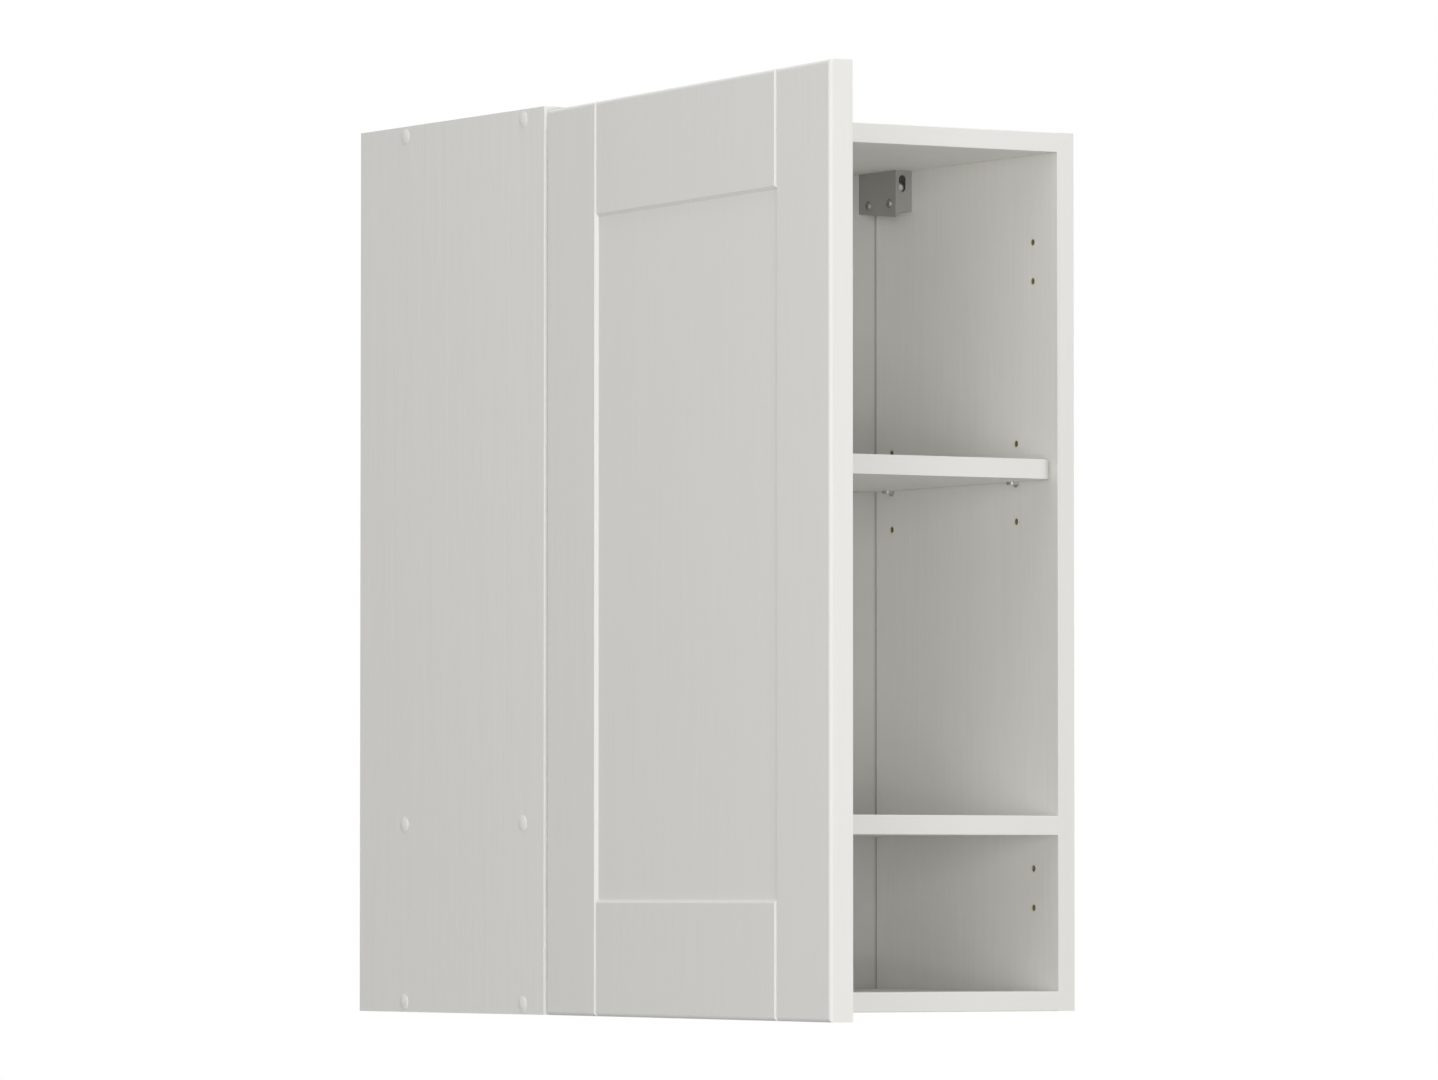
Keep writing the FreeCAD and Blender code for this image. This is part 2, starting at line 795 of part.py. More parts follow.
def hinge_arm(z):
    """Sheet-steel channel that carries the links and sits over the mounting plate."""
    low = z - arm_half_width
    inside = arm_half_width - arm_sheet
    body = prism(arm_outline(0, low), up * (2 * arm_half_width))
    body = body.cut(prism(arm_outline(arm_sheet, z - inside), up * (2 * inside)))
    cuts = []
    for pivot in (inner_arm_pivot, outer_arm_pivot):
        cuts.append(upright_pin(pivot, z, arm_pin_half_length, bore_clearance))
    for seat in arm_screw_seats(z):
        cuts.append(rod(arm_screw_shank_radius + bore_clearance, arm_sheet, seat, Vector(-1, 0, 0)))
    return body.cut(cuts)


def arm_screw(seat):
    """Adjusting or fixing screw through the arm into the mounting plate."""
    out = Vector(1, 0, 0)
    head = cone(arm_screw_head_radius, arm_screw_crown_radius, arm_screw_head, seat, out)
    shank = rod(arm_screw_shank_radius, arm_screw_length, seat, Vector(-1, 0, 0))
    return crossed(united([head, shank]), seat + out * arm_screw_head, out, arm_screw_head_radius)


def plate_screw_seats(z):
    """Places of the two screws on top of one mounting plate's wings."""
    top = -inner_half + plate_base
    return [Vector(top, from_front(hinge_hole_setback), z + row * hole_pitch) for row in (-0.5, 0.5)]


def hinge_plate(z):
    """Cross-shaped mounting plate with the rib that the arm sits on."""
    y = from_front(hinge_hole_setback)
    face = -inner_half
    wings = box(
        face, face + plate_base, y - plate_wing_width / 2, y + plate_wing_width / 2,
        z - plate_wing_half_length, z + plate_wing_half_length,
    )
    wings = rounded(wings, plate_wing_round, lambda edge: runs_along(edge, Vector(1, 0, 0)))
    rib_top = arm_top - arm_sheet - plate_rib_clearance
    rib = box(
        face, rib_top, from_front(plate_rib_front), from_front(plate_rib_rear),
        z - plate_rib_half_width, z + plate_rib_half_width,
    )
    cuts = [rod(hole_radius, plate_base, seat, Vector(-1, 0, 0)) for seat in plate_screw_seats(z)]
    for seat in arm_screw_seats(z):
        depth = arm_screw_length + bore_end_clearance
        cuts.append(rod(arm_screw_shank_radius + bore_clearance, depth, seat, Vector(-1, 0, 0)))
    return united([wings, rib]).cut(cuts)


def plate_screw(seat):
    """Screw that holds a mounting plate in a system hole."""
    out = Vector(1, 0, 0)
    head = cone(plate_screw_head_radius, plate_screw_crown_radius, plate_screw_head, seat, out)
    length = plate_base + hole_depth - bore_end_clearance
    shank = rod(hole_radius - plate_screw_clearance, length, seat, Vector(-1, 0, 0))
    return crossed(united([head, shank]), seat + out * plate_screw_head, out, plate_screw_head_radius)


def door_bumper(z):
    """Soft buffer near the free edge of the door."""
    centre = Vector(door_left + door_width - bumper_inset, door_inner_face, z)
    disc = rod(bumper_radius, bumper_height, centre, Vector(0, 1, 0))
    crown = door_inner_face + bumper_height

    def at_crown(edge):
        return edge.Closed and abs(edge.CenterOfMass.y - crown) < closeness

    return rounded(disc, bumper_round, at_crown)


# Cabinet hangers


def inward_x(sign, distance):
    """X of a point that lies this far inside a side panel's inner face."""
    return sign * (inner_half - distance)


def hanger_profile(x, margin):
    """Side view of a hanger above its lip, with a slightly sloping underside."""
    wall, top = -back_setback, top_underside - margin
    near = -hanger_front + margin
    rear_foot = top_underside - hanger_height_rear + margin
    front_foot = top_underside - hanger_height_front + hanger_lip + margin
    corners = [(wall, top), (near, top), (near, front_foot), (wall, rear_foot)]
    return [Vector(x, y, z) for y, z in corners]


def hanger_lip_wedge(sign):
    """Lip under a hanger's inner edge, deepest at the front and sloped towards the side panel."""
    inner = inward_x(sign, hanger_thickness)
    front_foot, rear_foot = hanger_profile(inner, 0)[2:]
    tip = front_foot - up * hanger_lip
    width = outward(sign) * (hanger_lip_foot + hanger_lip)
    wedge = prism([rear_foot, front_foot, tip], width)
    section = [
        tip, tip + outward(sign) * hanger_lip_foot, front_foot + width,
        front_foot + width + up * hanger_lip, front_foot + up * hanger_lip,
    ]
    return wedge.common(prism(section, Vector(0, rear_foot.y - front_foot.y, 0)))


def carriage_middle():
    """Height of the hook carriage at its lowest setting."""
    return top_underside - carriage_from_top


def height_screw_foot(sign):
    """Middle of the height screw's end, in the underside of a hanger beside its lip."""
    front_foot, rear_foot = hanger_profile(inward_x(sign, height_screw_from_side), 0)[2:]
    return front_foot + (rear_foot - front_foot) * (height_screw_setback / (rear_foot.y - front_foot.y))


def height_screw_length(sign):
    """Length that brings the height screw's tip close below the lowest carriage."""
    return carriage_middle() - carriage_height / 2 - height_screw_tip_gap - height_screw_foot(sign).z


def fixing_bore(sign, distance):
    """Hole for one hanger fixing screw in a side panel."""
    start = Vector(sign * inner_half, -distance, top_underside - fixing_from_top)
    return rod(fixing_radius + bore_clearance, fixing_depth + bore_end_clearance, start, outward(sign))


def hanger_housing(sign):
    """Hollow housing, open to the wall, with its screw openings."""
    depth = outward(-sign) * hanger_thickness
    shell = united([prism(hanger_profile(sign * inner_half, 0), depth), hanger_lip_wedge(sign)])
    inside = depth - outward(-sign) * 2 * hanger_wall
    hollow = prism(hanger_profile(inward_x(sign, hanger_wall), hanger_wall), inside)
    centre_x = inward_x(sign, hook_from_side)
    slot_half = depth_screw_head_radius + slot_margin
    middle = carriage_middle()
    slot = box(
        centre_x - slot_half, centre_x + slot_half, -hanger_front, -hanger_front + hanger_wall,
        middle, middle + hook_lift,
    )
    cuts = [hollow, slot]
    for end in (middle, middle + hook_lift):
        cuts.append(rod(slot_half, hanger_wall, Vector(centre_x, -hanger_front, end), Vector(0, 1, 0)))
    for distance in fixing_from_wall:
        start = Vector(sign * inner_half, -distance, top_underside - fixing_from_top)
        cuts.append(rod(fixing_radius + bore_clearance, hanger_thickness, start, outward(-sign)))
    start = height_screw_foot(sign) - up * hanger_wall
    cuts.append(rod(height_screw_radius + bore_clearance, height_screw_length(sign), start, up))
    return shell.cut(cuts)


def fixing_screw(sign, distance):
    """Screw through a hanger into the side panel."""
    inward = outward(-sign)
    z = top_underside - fixing_from_top
    seat = Vector(inward_x(sign, hanger_thickness), -distance, z)
    head = cone(fixing_head_radius, fixing_crown_radius, fixing_head, seat, inward)
    shank = rod(fixing_radius, hanger_thickness + fixing_depth, seat, outward(sign))
    return crossed(united([head, shank]), seat + inward * fixing_head, inward, fixing_head_radius)


def hook_section(sign, clearance, y0, y1):
    """Bar of the hook, or the slot it runs in."""
    centre = inward_x(sign, hook_from_side)
    half_bar = hook_width / 2 + clearance
    half_tall = hook_height / 2 + clearance
    middle = carriage_middle()
    return box(centre - half_bar, centre + half_bar, y0, y1, middle - half_tall, middle + half_tall)


def hook_carriage(sign):
    """Carriage that rises in the housing and guides the hook."""
    gap = hanger_wall + carriage_side_clearance
    middle = carriage_middle()
    body = box(
        inward_x(sign, gap), inward_x(sign, hanger_thickness - gap), -carriage_front, -carriage_rear,
        middle - carriage_height / 2, middle + carriage_height / 2,
    )
    slot = hook_section(sign, hook_clearance, -carriage_front + carriage_nose, -carriage_rear)
    start = Vector(inward_x(sign, hook_from_side), -carriage_front, middle)
    return body.cut([slot, rod(depth_screw_radius + bore_clearance, carriage_nose, start, Vector(0, 1, 0))])


def hanger_hook(sign):
    """Hook bar with the tooth that drops behind the wall rail."""
    bar = hook_section(sign, 0, -hook_front, -hook_rear)
    centre = inward_x(sign, hook_from_side)
    half_bar = hook_width / 2
    middle = carriage_middle()
    tooth = box(
        centre - half_bar, centre + half_bar, -hook_rear - hook_tooth, -hook_rear,
        middle - hook_height / 2 - hook_tooth_drop, middle,
    )
    start = Vector(centre, -hook_front, middle)
    bore = rod(depth_screw_radius + bore_clearance, hook_bore_depth + hook_reach, start, Vector(0, 1, 0))
    return united([bar, tooth]).cut(bore)


def depth_screw(sign):
    """Screw in the carriage's nose that draws the hook in."""
    seat = Vector(inward_x(sign, hook_from_side), -carriage_front, carriage_middle())
    out = Vector(0, -1, 0)
    head = rod(depth_screw_head_radius, depth_screw_head, seat, out)
    shank = rod(depth_screw_radius, depth_screw_length, seat, Vector(0, 1, 0))
    return crossed(united([head, shank]), seat + out * depth_screw_head, out, depth_screw_head_radius)


def height_screw(sign):
    """Upright screw in the underside that lifts the carriage."""
    foot = height_screw_foot(sign)
    shank = rod(height_screw_radius, height_screw_length(sign), foot, up)
    return crossed(shank, foot, up * -1, height_screw_radius)


def build():
    """Make every node and write it out."""
    os.makedirs("parts", exist_ok=True)
    nodes = {
        "top_panel": [top_panel()],
        "bottom_panel": [bottom_panel()],
        "fixed_shelf": [fixed_shelf()],
        "back_panel": [back_panel()],
        "top_edge_band": [edge_band(-inner_half, inner_half, top_underside, cabinet_height)],
        "bottom_edge_band": [edge_band(-inner_half, inner_half, 0, board)],
        "fixed_shelf_edge_band": [
            edge_band(-inner_half, inner_half, fixed_shelf_underside, fixed_shelf_underside + board)
        ],
        "adjustable_shelf": [adjustable_shelf()],
        "adjustable_shelf_edge_band": [shelf_edge_band()],
        "door_front": [opened(door_front())],
    }
    screws, dowels, supports, fixings = [], [], [], []
    for side, sign in side_signs.items():
        nodes[side + "_side_panel"] = [side_panel(sign)]
        edges = sorted((sign * inner_half, sign * half_width))
        nodes[side + "_side_edge_band"] = [edge_band(edges[0], edges[1], 0, cabinet_height)]
        for joint, z in joint_heights().items():
            dowels.append(wooden_dowel(sign, z))
            screws += [connecting_screw(sign, y, z) for y in joint_screw_places()]
            caps = [cover_cap(sign, y, z) for y in joint_screw_places()]
            nodes[side + "_" + joint + "_cover_caps"] = caps
        for setback in (shelf_hole_setback, shelf_hole_setback + shelf_hole_spread):
            supports.append(shelf_support(sign, setback))
        nodes[side + "_hanger_housing"] = [hanger_housing(sign)]
        nodes[side + "_hook_carriage"] = [hook_carriage(sign)]
        nodes[side + "_hanger_hook"] = [hanger_hook(sign)]
        nodes[side + "_depth_screw"] = [depth_screw(sign)]
        nodes[side + "_height_screw"] = [height_screw(sign)]
        fixings += [fixing_screw(sign, distance) for distance in fixing_from_wall]
    nodes["connecting_screws"] = screws
    nodes["wooden_dowels"] = dowels
    nodes["shelf_supports"] = supports
    nodes["hanger_fixing_screws"] = fixings

    arm_pins, arm_screws, plate_screws, cup_pins = [], [], [], []
    for place, z in hinge_heights().items():
        nodes[place + "_hinge_cup"] = [opened(hinge_cup(z))]
        nodes[place + "_inner_link"] = [inner_link(z)]
        nodes[place + "_outer_link"] = [outer_link(z)]
        nodes[place + "_hinge_arm"] = [hinge_arm(z)]
        nodes[place + "_hinge_plate"] = [hinge_plate(z)]
        for pivot in (inner_arm_pivot, outer_arm_pivot):
            arm_pins.append(upright_pin(pivot, z, arm_pin_half_length))
        arm_screws += [arm_screw(seat) for seat in arm_screw_seats(z)]
        plate_screws += [plate_screw(seat) for seat in plate_screw_seats(z)]
        cup_pins.append(opened(upright_pin(inner_cup_pivot, z, cup_pin_half_length)))
    nodes["hinge_arm_pins"] = arm_pins
    nodes["hinge_arm_screws"] = arm_screws
    nodes["hinge_plate_screws"] = plate_screws
    nodes["hinge_cup_pins"] = cup_pins
    nodes["hinge_cup_screws"] = [opened(cup_screw(seat)) for seat in cup_screw_places()]
    nodes["door_bumpers"] = [opened(door_bumper(z)) for z in (bumper_inset, door_height - bumper_inset)]

    for node, shapes in nodes.items():
        export(node, shapes)


build()
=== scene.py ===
"""Dressed wall cabinet: laminated carcass, framed door, concealed hinges, shelf supports and hangers."""
import logging
import math
from dataclasses import dataclass, field
from enum import Enum
from typing import Any, Dict, List, Optional, Sequence, Tuple

import bmesh
import bpy
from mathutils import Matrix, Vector


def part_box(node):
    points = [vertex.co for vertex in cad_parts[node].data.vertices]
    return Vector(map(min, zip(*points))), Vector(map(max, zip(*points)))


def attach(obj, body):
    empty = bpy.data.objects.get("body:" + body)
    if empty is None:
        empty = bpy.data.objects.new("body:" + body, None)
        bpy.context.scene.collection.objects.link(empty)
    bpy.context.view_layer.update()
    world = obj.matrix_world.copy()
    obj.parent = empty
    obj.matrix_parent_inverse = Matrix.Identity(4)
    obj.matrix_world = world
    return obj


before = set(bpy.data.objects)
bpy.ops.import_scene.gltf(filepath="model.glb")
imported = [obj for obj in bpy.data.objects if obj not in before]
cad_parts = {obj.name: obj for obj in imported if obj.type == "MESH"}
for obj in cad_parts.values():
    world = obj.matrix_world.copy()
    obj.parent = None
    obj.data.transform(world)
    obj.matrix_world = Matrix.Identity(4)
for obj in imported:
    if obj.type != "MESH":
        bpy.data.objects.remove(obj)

LOG = logging.getLogger("wall_cabinet")
Colour = Tuple[float, float, float]
MILLIMETRE = 0.001
LAMINATE_TONE: Colour = (0.84, 0.832, 0.80)


class Grain(Enum):
    """Direction in which the pores of a laminate run, as sizes of one pattern cell in millimetres."""

    UPRIGHT = (1.9, 1.9, 110.0)
    CROSSWISE = (110.0, 1.9, 1.9)


class Axis(Enum):
    """Axis across the thickness of a board, as the output's place on a Separate XYZ node."""

    X = 0
    Z = 2


class Tree:
    """Short way to add nodes to a node tree and join them."""

    def __init__(self, tree: bpy.types.NodeTree) -> None:
        """Keep the tree that the nodes go into.

        Args:
            tree: A material's, a world's or a group's node tree.
        """
        self.tree = tree

    def add(self, kind: str, values: Optional[Dict[Any, Any]] = None, **settings: Any) -> bpy.types.Node:
        """Add one node.

        Args:
            kind: Blender's name of the node type.
            values: Input name or place, with a plain value or the output socket to join to it.
            **settings: Properties of the node itself.

        Returns:
            The new node.
        """
        node = self.tree.nodes.new(kind)
        for name, setting in settings.items():
            setattr(node, name, setting)
        for key, value in (values or {}).items():
            self.give(node.inputs[key], value)
        return node

    def give(self, socket: bpy.types.NodeSocket, value: Any) -> None:
        """Set an input, or join an output to it.

        Args:
            socket: The input.
            value: Plain value or output socket.
        """
        if isinstance(value, bpy.types.NodeSocket):
            self.tree.links.new(value, socket)
        else:
            socket.default_value = value

    def math(self, operation: str, first: Any, second: Any = 0.0) -> bpy.types.NodeSocket:
        """Add a Math node.

        Args:
            operation: Blender's name of the operation.
            first: Value or output socket.
            second: Value or output socket.

        Returns:
            The node's output.
        """
        return self.add("ShaderNodeMath", {0: first, 1: second}, operation=operation).outputs[0]

    def blend(self, share: float, first: Any, second: Any) -> bpy.types.NodeSocket:
        """Add up two values by their shares.

        Args:
            share: Share of the first value; the second one has the rest.
            first: Value or output socket.
            second: Value or output socket.

        Returns:
            The weighted sum.
        """
        weighted = self.math("MULTIPLY", first, share)
        rest = self.math("MULTIPLY", second, 1 - share)
        return self.math("ADD", weighted, rest)

    def mix(self, share: Any, first: Any, second: Any) -> bpy.types.NodeSocket:
        """Add a colour Mix node.

        Args:
            share: Share of the second colour, as a value or an output socket.
            first: Colour or output socket.
            second: Colour or output socket.

        Returns:
            The mixed colour.
        """
        node = self.add("ShaderNodeMix", data_type="RGBA")
        for name, value in (("Factor_Float", share), ("A_Color", first), ("B_Color", second)):
            self.give(next(item for item in node.inputs if item.identifier == name), value)
        return next(item for item in node.outputs if item.identifier == "Result_Color")

    def span(self, value: Any, low: float, high: float) -> bpy.types.NodeSocket:
        """Map a span of values to 0 to 1, clamped at both ends.

        Args:
            value: Output socket to map.
            low: Start of the span.
            high: End of the span.

        Returns:
            The mapped value.
        """
        values = {"Value": value, "From Min": low, "From Max": high, "To Min": 0.0, "To Max": 1.0}
        return self.add("ShaderNodeMapRange", values).outputs[0]

    def noise(self, place: Any, scale: Any, detail: float, roughness: float = 0.5) -> bpy.types.Node:
        """Add a Noise Texture node.

        Args:
            place: Output socket with the coordinates.
            scale: Scale of the noise, as a value or an output socket.
            detail: Number of finer layers.
            roughness: Strength of the finer layers.

        Returns:
            The node.
        """
        values = {"Vector": place, "Scale": scale, "Detail": detail, "Roughness": roughness}
        return self.add("ShaderNodeTexNoise", values)

    def parts(self, place: Any) -> Any:
        """Split coordinates.

        Args:
            place: Output socket with the coordinates.

        Returns:
            The three outputs.
        """
        return self.add("ShaderNodeSeparateXYZ", {0: place}).outputs


def opaque(colour: Colour) -> Tuple[float, float, float, float]:
    """Give a colour full alpha.

    Args:
        colour: Red, green and blue.

    Returns:
        The colour with its alpha.
    """
    return (*colour, 1.0)


def shaded(colour: Colour, share: float) -> Colour:
    """Multiply every channel of a colour.

    Args:
        colour: Red, green and blue.
        share: Factor, below 1 for a darker colour.

    Returns:
        The changed colour.
    """
    return (colour[0] * share, colour[1] * share, colour[2] * share)


class Effects:
    """Shader node groups that several finishes share, each built once."""

    PORE_FINENESS = 2.6
    PORE_LOW = 0.36
    PORE_HIGH = 0.56
    STREAK_SHARE = 0.7
    WARP_SCALE = 420.0
    WARP_REACH = 0.0022
    CHIP_SCALE = 1250.0
    DUST_SCALE = 1900.0
    CHIP_SHARE = 0.5
    BROAD_SCALE = 9.0
    SMALL_SCALE = 160.0
    BROAD_SHARE = 0.6
    MIDDLE_SHADE = 0.5
    LINE_SCALE = (3200.0, 3200.0, 240.0)
    SPOT_SCALE = 420.0
    LINE_SHARE = 0.4

    def __init__(self) -> None:
        """Build every group."""
        self.grain = self._grain()
        self.chips = self._chips()
        self.between = self._between()
        self.handling = self._handling()
        self.brushing = self._brushing()

    @staticmethod
    def _group(name: str, inputs: Dict[str, str], outputs: Dict[str, str]) -> Tuple[Tree, Any, Any]:
        """Start a group.

        Args:
            name: Name of the group.
            inputs: Name and socket type of each input.
            outputs: Name and socket type of each output.

        Returns:
            The group's tree, the sockets that bring its inputs and the sockets that take its outputs.
        """
        group = bpy.data.node_groups.new(name, "ShaderNodeTree")
        for direction, sockets in (("INPUT", inputs), ("OUTPUT", outputs)):
            for label, kind in sockets.items():
                group.interface.new_socket(name=label, in_out=direction, socket_type=kind)
        tree = Tree(group)
        return tree, tree.add("NodeGroupInput").outputs, tree.add("NodeGroupOutput").inputs

    def _grain(self) -> bpy.types.NodeTree:
        """Embossed pores and soft streaks along the grain.

        Returns:
            Group that puts out the pores' height and the shade of the streaks, both about 0 to 1.
        """
        tree, source, target = self._group(
            "embossed_grain",
            {"Vector": "NodeSocketVector", "Streak": "NodeSocketFloat"},
            {"Height": "NodeSocketFloat", "Shade": "NodeSocketFloat"},
        )
        fineness = (self.PORE_FINENESS, self.PORE_FINENESS, self.PORE_FINENESS)
        fine = tree.add("ShaderNodeVectorMath", {0: source["Vector"], 1: fineness}, operation="MULTIPLY")
        pores = tree.noise(fine.outputs[0], scale=1.0, detail=3.0)
        streaks = tree.noise(source["Vector"], source["Streak"], detail=4.0)
        dents = tree.span(pores.outputs["Fac"], self.PORE_LOW, self.PORE_HIGH)
        tree.give(target["Height"], dents)
        tree.give(target["Shade"], tree.blend(self.STREAK_SHARE, streaks.outputs["Fac"], dents))
        return tree.tree

    def _chips(self) -> bpy.types.NodeTree:
        """Bare chipboard: small chips of several browns with fine dust between them.

        Returns:
            Group that puts out the chips' colour and height.
        """
        tree, source, target = self._group(
            "bare_chipboard",
            {"Vector": "NodeSocketVector", "Pale": "NodeSocketColor", "Dark": "NodeSocketColor"},
            {"Color": "NodeSocketColor", "Height": "NodeSocketFloat"},
        )
        warp = tree.noise(source["Vector"], self.WARP_SCALE, detail=3.0)
        reach = (self.WARP_REACH, self.WARP_REACH, self.WARP_REACH)
        shifted = tree.add(
            "ShaderNodeVectorMath",
            {0: warp.outputs["Color"], 1: reach, 2: source["Vector"]},
            operation="MULTIPLY_ADD",
        )
        cells = tree.add("ShaderNodeTexVoronoi", {"Vector": shifted.outputs[0], "Scale": self.CHIP_SCALE})
        tones = tree.add("ShaderNodeSeparateColor", {"Color": cells.outputs["Color"]})
        dust = tree.noise(source["Vector"], self.DUST_SCALE, detail=2.0)
        share = tree.blend(self.CHIP_SHARE, tones.outputs[0], dust.outputs["Fac"])
        tree.give(target["Color"], tree.mix(share, source["Pale"], source["Dark"]))
        tree.give(target["Height"], cells.outputs["Distance"])
        return tree.tree

    def _between(self) -> bpy.types.NodeTree:
        """Mask of the values between two bounds.

        Returns:
            Group that puts out 1 between the bounds and 0 outside them.
        """
        tree, source, target = self._group(
            "between",
            {"Value": "NodeSocketFloat", "Low": "NodeSocketFloat", "High": "NodeSocketFloat"},
            {"Mask": "NodeSocketFloat"},
        )
        above = tree.math("GREATER_THAN", source["Value"], source["Low"])
        below = tree.math("LESS_THAN", source["Value"], source["High"])
        tree.give(target["Mask"], tree.math("MULTIPLY", above, below))
        return tree.tree

    def _handling(self) -> bpy.types.NodeTree:
        """Slow change of gloss over a surface that has been wiped and handled.

        Returns:
            Group that puts out a roughness around the given one and a faint shade.
        """
        tree, source, target = self._group(
            "handling",
            {"Vector": "NodeSocketVector", "Roughness": "NodeSocketFloat", "Spread": "NodeSocketFloat"},
            {"Roughness": "NodeSocketFloat", "Shade": "NodeSocketFloat"},
        )
        broad = tree.noise(source["Vector"], self.BROAD_SCALE, detail=3.0)
        small = tree.noise(source["Vector"], self.SMALL_SCALE, detail=2.0)
        shade = tree.blend(self.BROAD_SHARE, broad.outputs["Fac"], small.outputs["Fac"])
        offset = tree.math("MULTIPLY", tree.math("SUBTRACT", shade, self.MIDDLE_SHADE), source["Spread"])
        tree.give(target["Roughness"], tree.math("ADD", source["Roughness"], offset))
        tree.give(target["Shade"], shade)
        return tree.tree

    def _brushing(self) -> bpy.types.NodeTree:
        """Fine drawing lines and faint spots of plated steel.

        Returns:
            Group that puts out the lines' height and a shade.
        """
        tree, source, target = self._group(
            "plated_brushing",
            {"Vector": "NodeSocketVector"},
            {"Height": "NodeSocketFloat", "Shade": "NodeSocketFloat"},
        )
        drawn = tree.add("ShaderNodeMapping", {"Vector": source["Vector"], "Scale": self.LINE_SCALE})
        lines = tree.noise(drawn.outputs[0], scale=1.0, detail=2.0)
        spots = tree.noise(source["Vector"], self.SPOT_SCALE, detail=4.0)
        tree.give(target["Height"], lines.outputs["Fac"])
        tree.give(target["Shade"], tree.blend(self.LINE_SHARE, lines.outputs["Fac"], spots.outputs["Fac"]))
        return tree.tree


@dataclass(frozen=True)
class Core:
    """Raw middle of a board, which shows where the board is cut and not banded, and its bored stretch,
    where painted shade darkens the chipboard in the holes.
    """

    axis: Axis
    low: float
    high: float
    mirrored: bool = False
    banded_below: Optional[float] = None
    bored_front: Optional[float] = None
    bored_rear: float = 0.0
    bored_top: float = 0.0


class Finish:
    """Base of all finishes: starts a material, tints it and ends it at its shader."""

    name: str

    def material(self, effects: Effects) -> bpy.types.Material:
        """Build the finish as a material.

        Args:
            effects: Shared shader groups.

        Returns:
            The material.
        """
        raise NotImplementedError

    def _start(self) -> Tuple[bpy.types.Material, Tree, bpy.types.Node, bpy.types.NodeSocket]:
        """Empty material with its shader.

        Returns:
            The material, its tree, the shader and the Object coordinates.
        """
        material = bpy.data.materials.new(self.name)
        material.use_nodes = True
        material.node_tree.nodes.clear()
        tree = Tree(material.node_tree)
        shader = tree.add("ShaderNodeBsdfPrincipled")
        tree.add("ShaderNodeOutputMaterial", {"Surface": shader.outputs[0]})
        place = tree.add("ShaderNodeTexCoord").outputs["Object"]
        return material, tree, shader, place

    @staticmethod
    def _end(tree: Tree, shader: bpy.types.Node, colour: Any, roughness: Any, normal: Any) -> None:
        """Join the looks to the shader.

        Args:
            tree: The material's tree.
            shader: The material's shader.
            colour: Output socket with the base colour.
            roughness: Output socket with the roughness.
            normal: Output socket with the normal.
        """
        tree.give(shader.inputs["Base Color"], colour)
        tree.give(shader.inputs["Roughness"], roughness)
        tree.give(shader.inputs["Normal"], normal)

    @staticmethod
    def _group(tree: Tree, group: bpy.types.NodeTree, values: Dict[str, Any]) -> Any:
        """Place a shared group in a material.

        Args:
            tree: The material's tree.
            group: The shared group.
            values: Values or sockets for its inputs.

        Returns:
            The group's outputs.
        """
        return tree.add("ShaderNodeGroup", values, node_tree=group).outputs

    @staticmethod
    def _tint(tree: Tree, share: Any, colour: Colour, low: float, high: float) -> bpy.types.NodeSocket:
        """Vary a colour between a dimmer and a paler one.

        Args:
            tree: The material's tree.
            share: Output socket that is 0 at the dim end and 1 at the pale end.
            colour: The colour.
            low: Its factor at the dim end.
            high: Its factor at the pale end.

        Returns:
            The varied colour.
        """
        return tree.mix(share, opaque(shaded(colour, low)), opaque(shaded(colour, high)))

    @staticmethod
    def _bump(tree: Tree, height: Any, strength: float, depth: float) -> bpy.types.NodeSocket:
        """Normal from a height.

        Args:
            tree: The material's tree.
            height: Output socket with the height.
            strength: Strength of the bump.
            depth: Depth of the bump in millimetres.

        Returns:
            The bumped normal.
        """
        values = {"Height": height, "Strength": strength, "Distance": depth * MILLIMETRE}
        return tree.add("ShaderNodeBump", values).outputs["Normal"]

    def _wiped(self, tree: Tree, effects: Effects, place: Any, roughness: float, spread: float) -> Any:
        """Place the shared group for handled surfaces.

        Args:
            tree: The material's tree.
            effects: Shared shader groups.
            place: Object coordinates.
            roughness: Middle roughness.
            spread: How far the roughness varies.

        Returns:
            The group's outputs.
        """
        values = {"Vector": place, "Roughness": roughness, "Spread": spread}
        return self._group(tree, effects.handling, values)


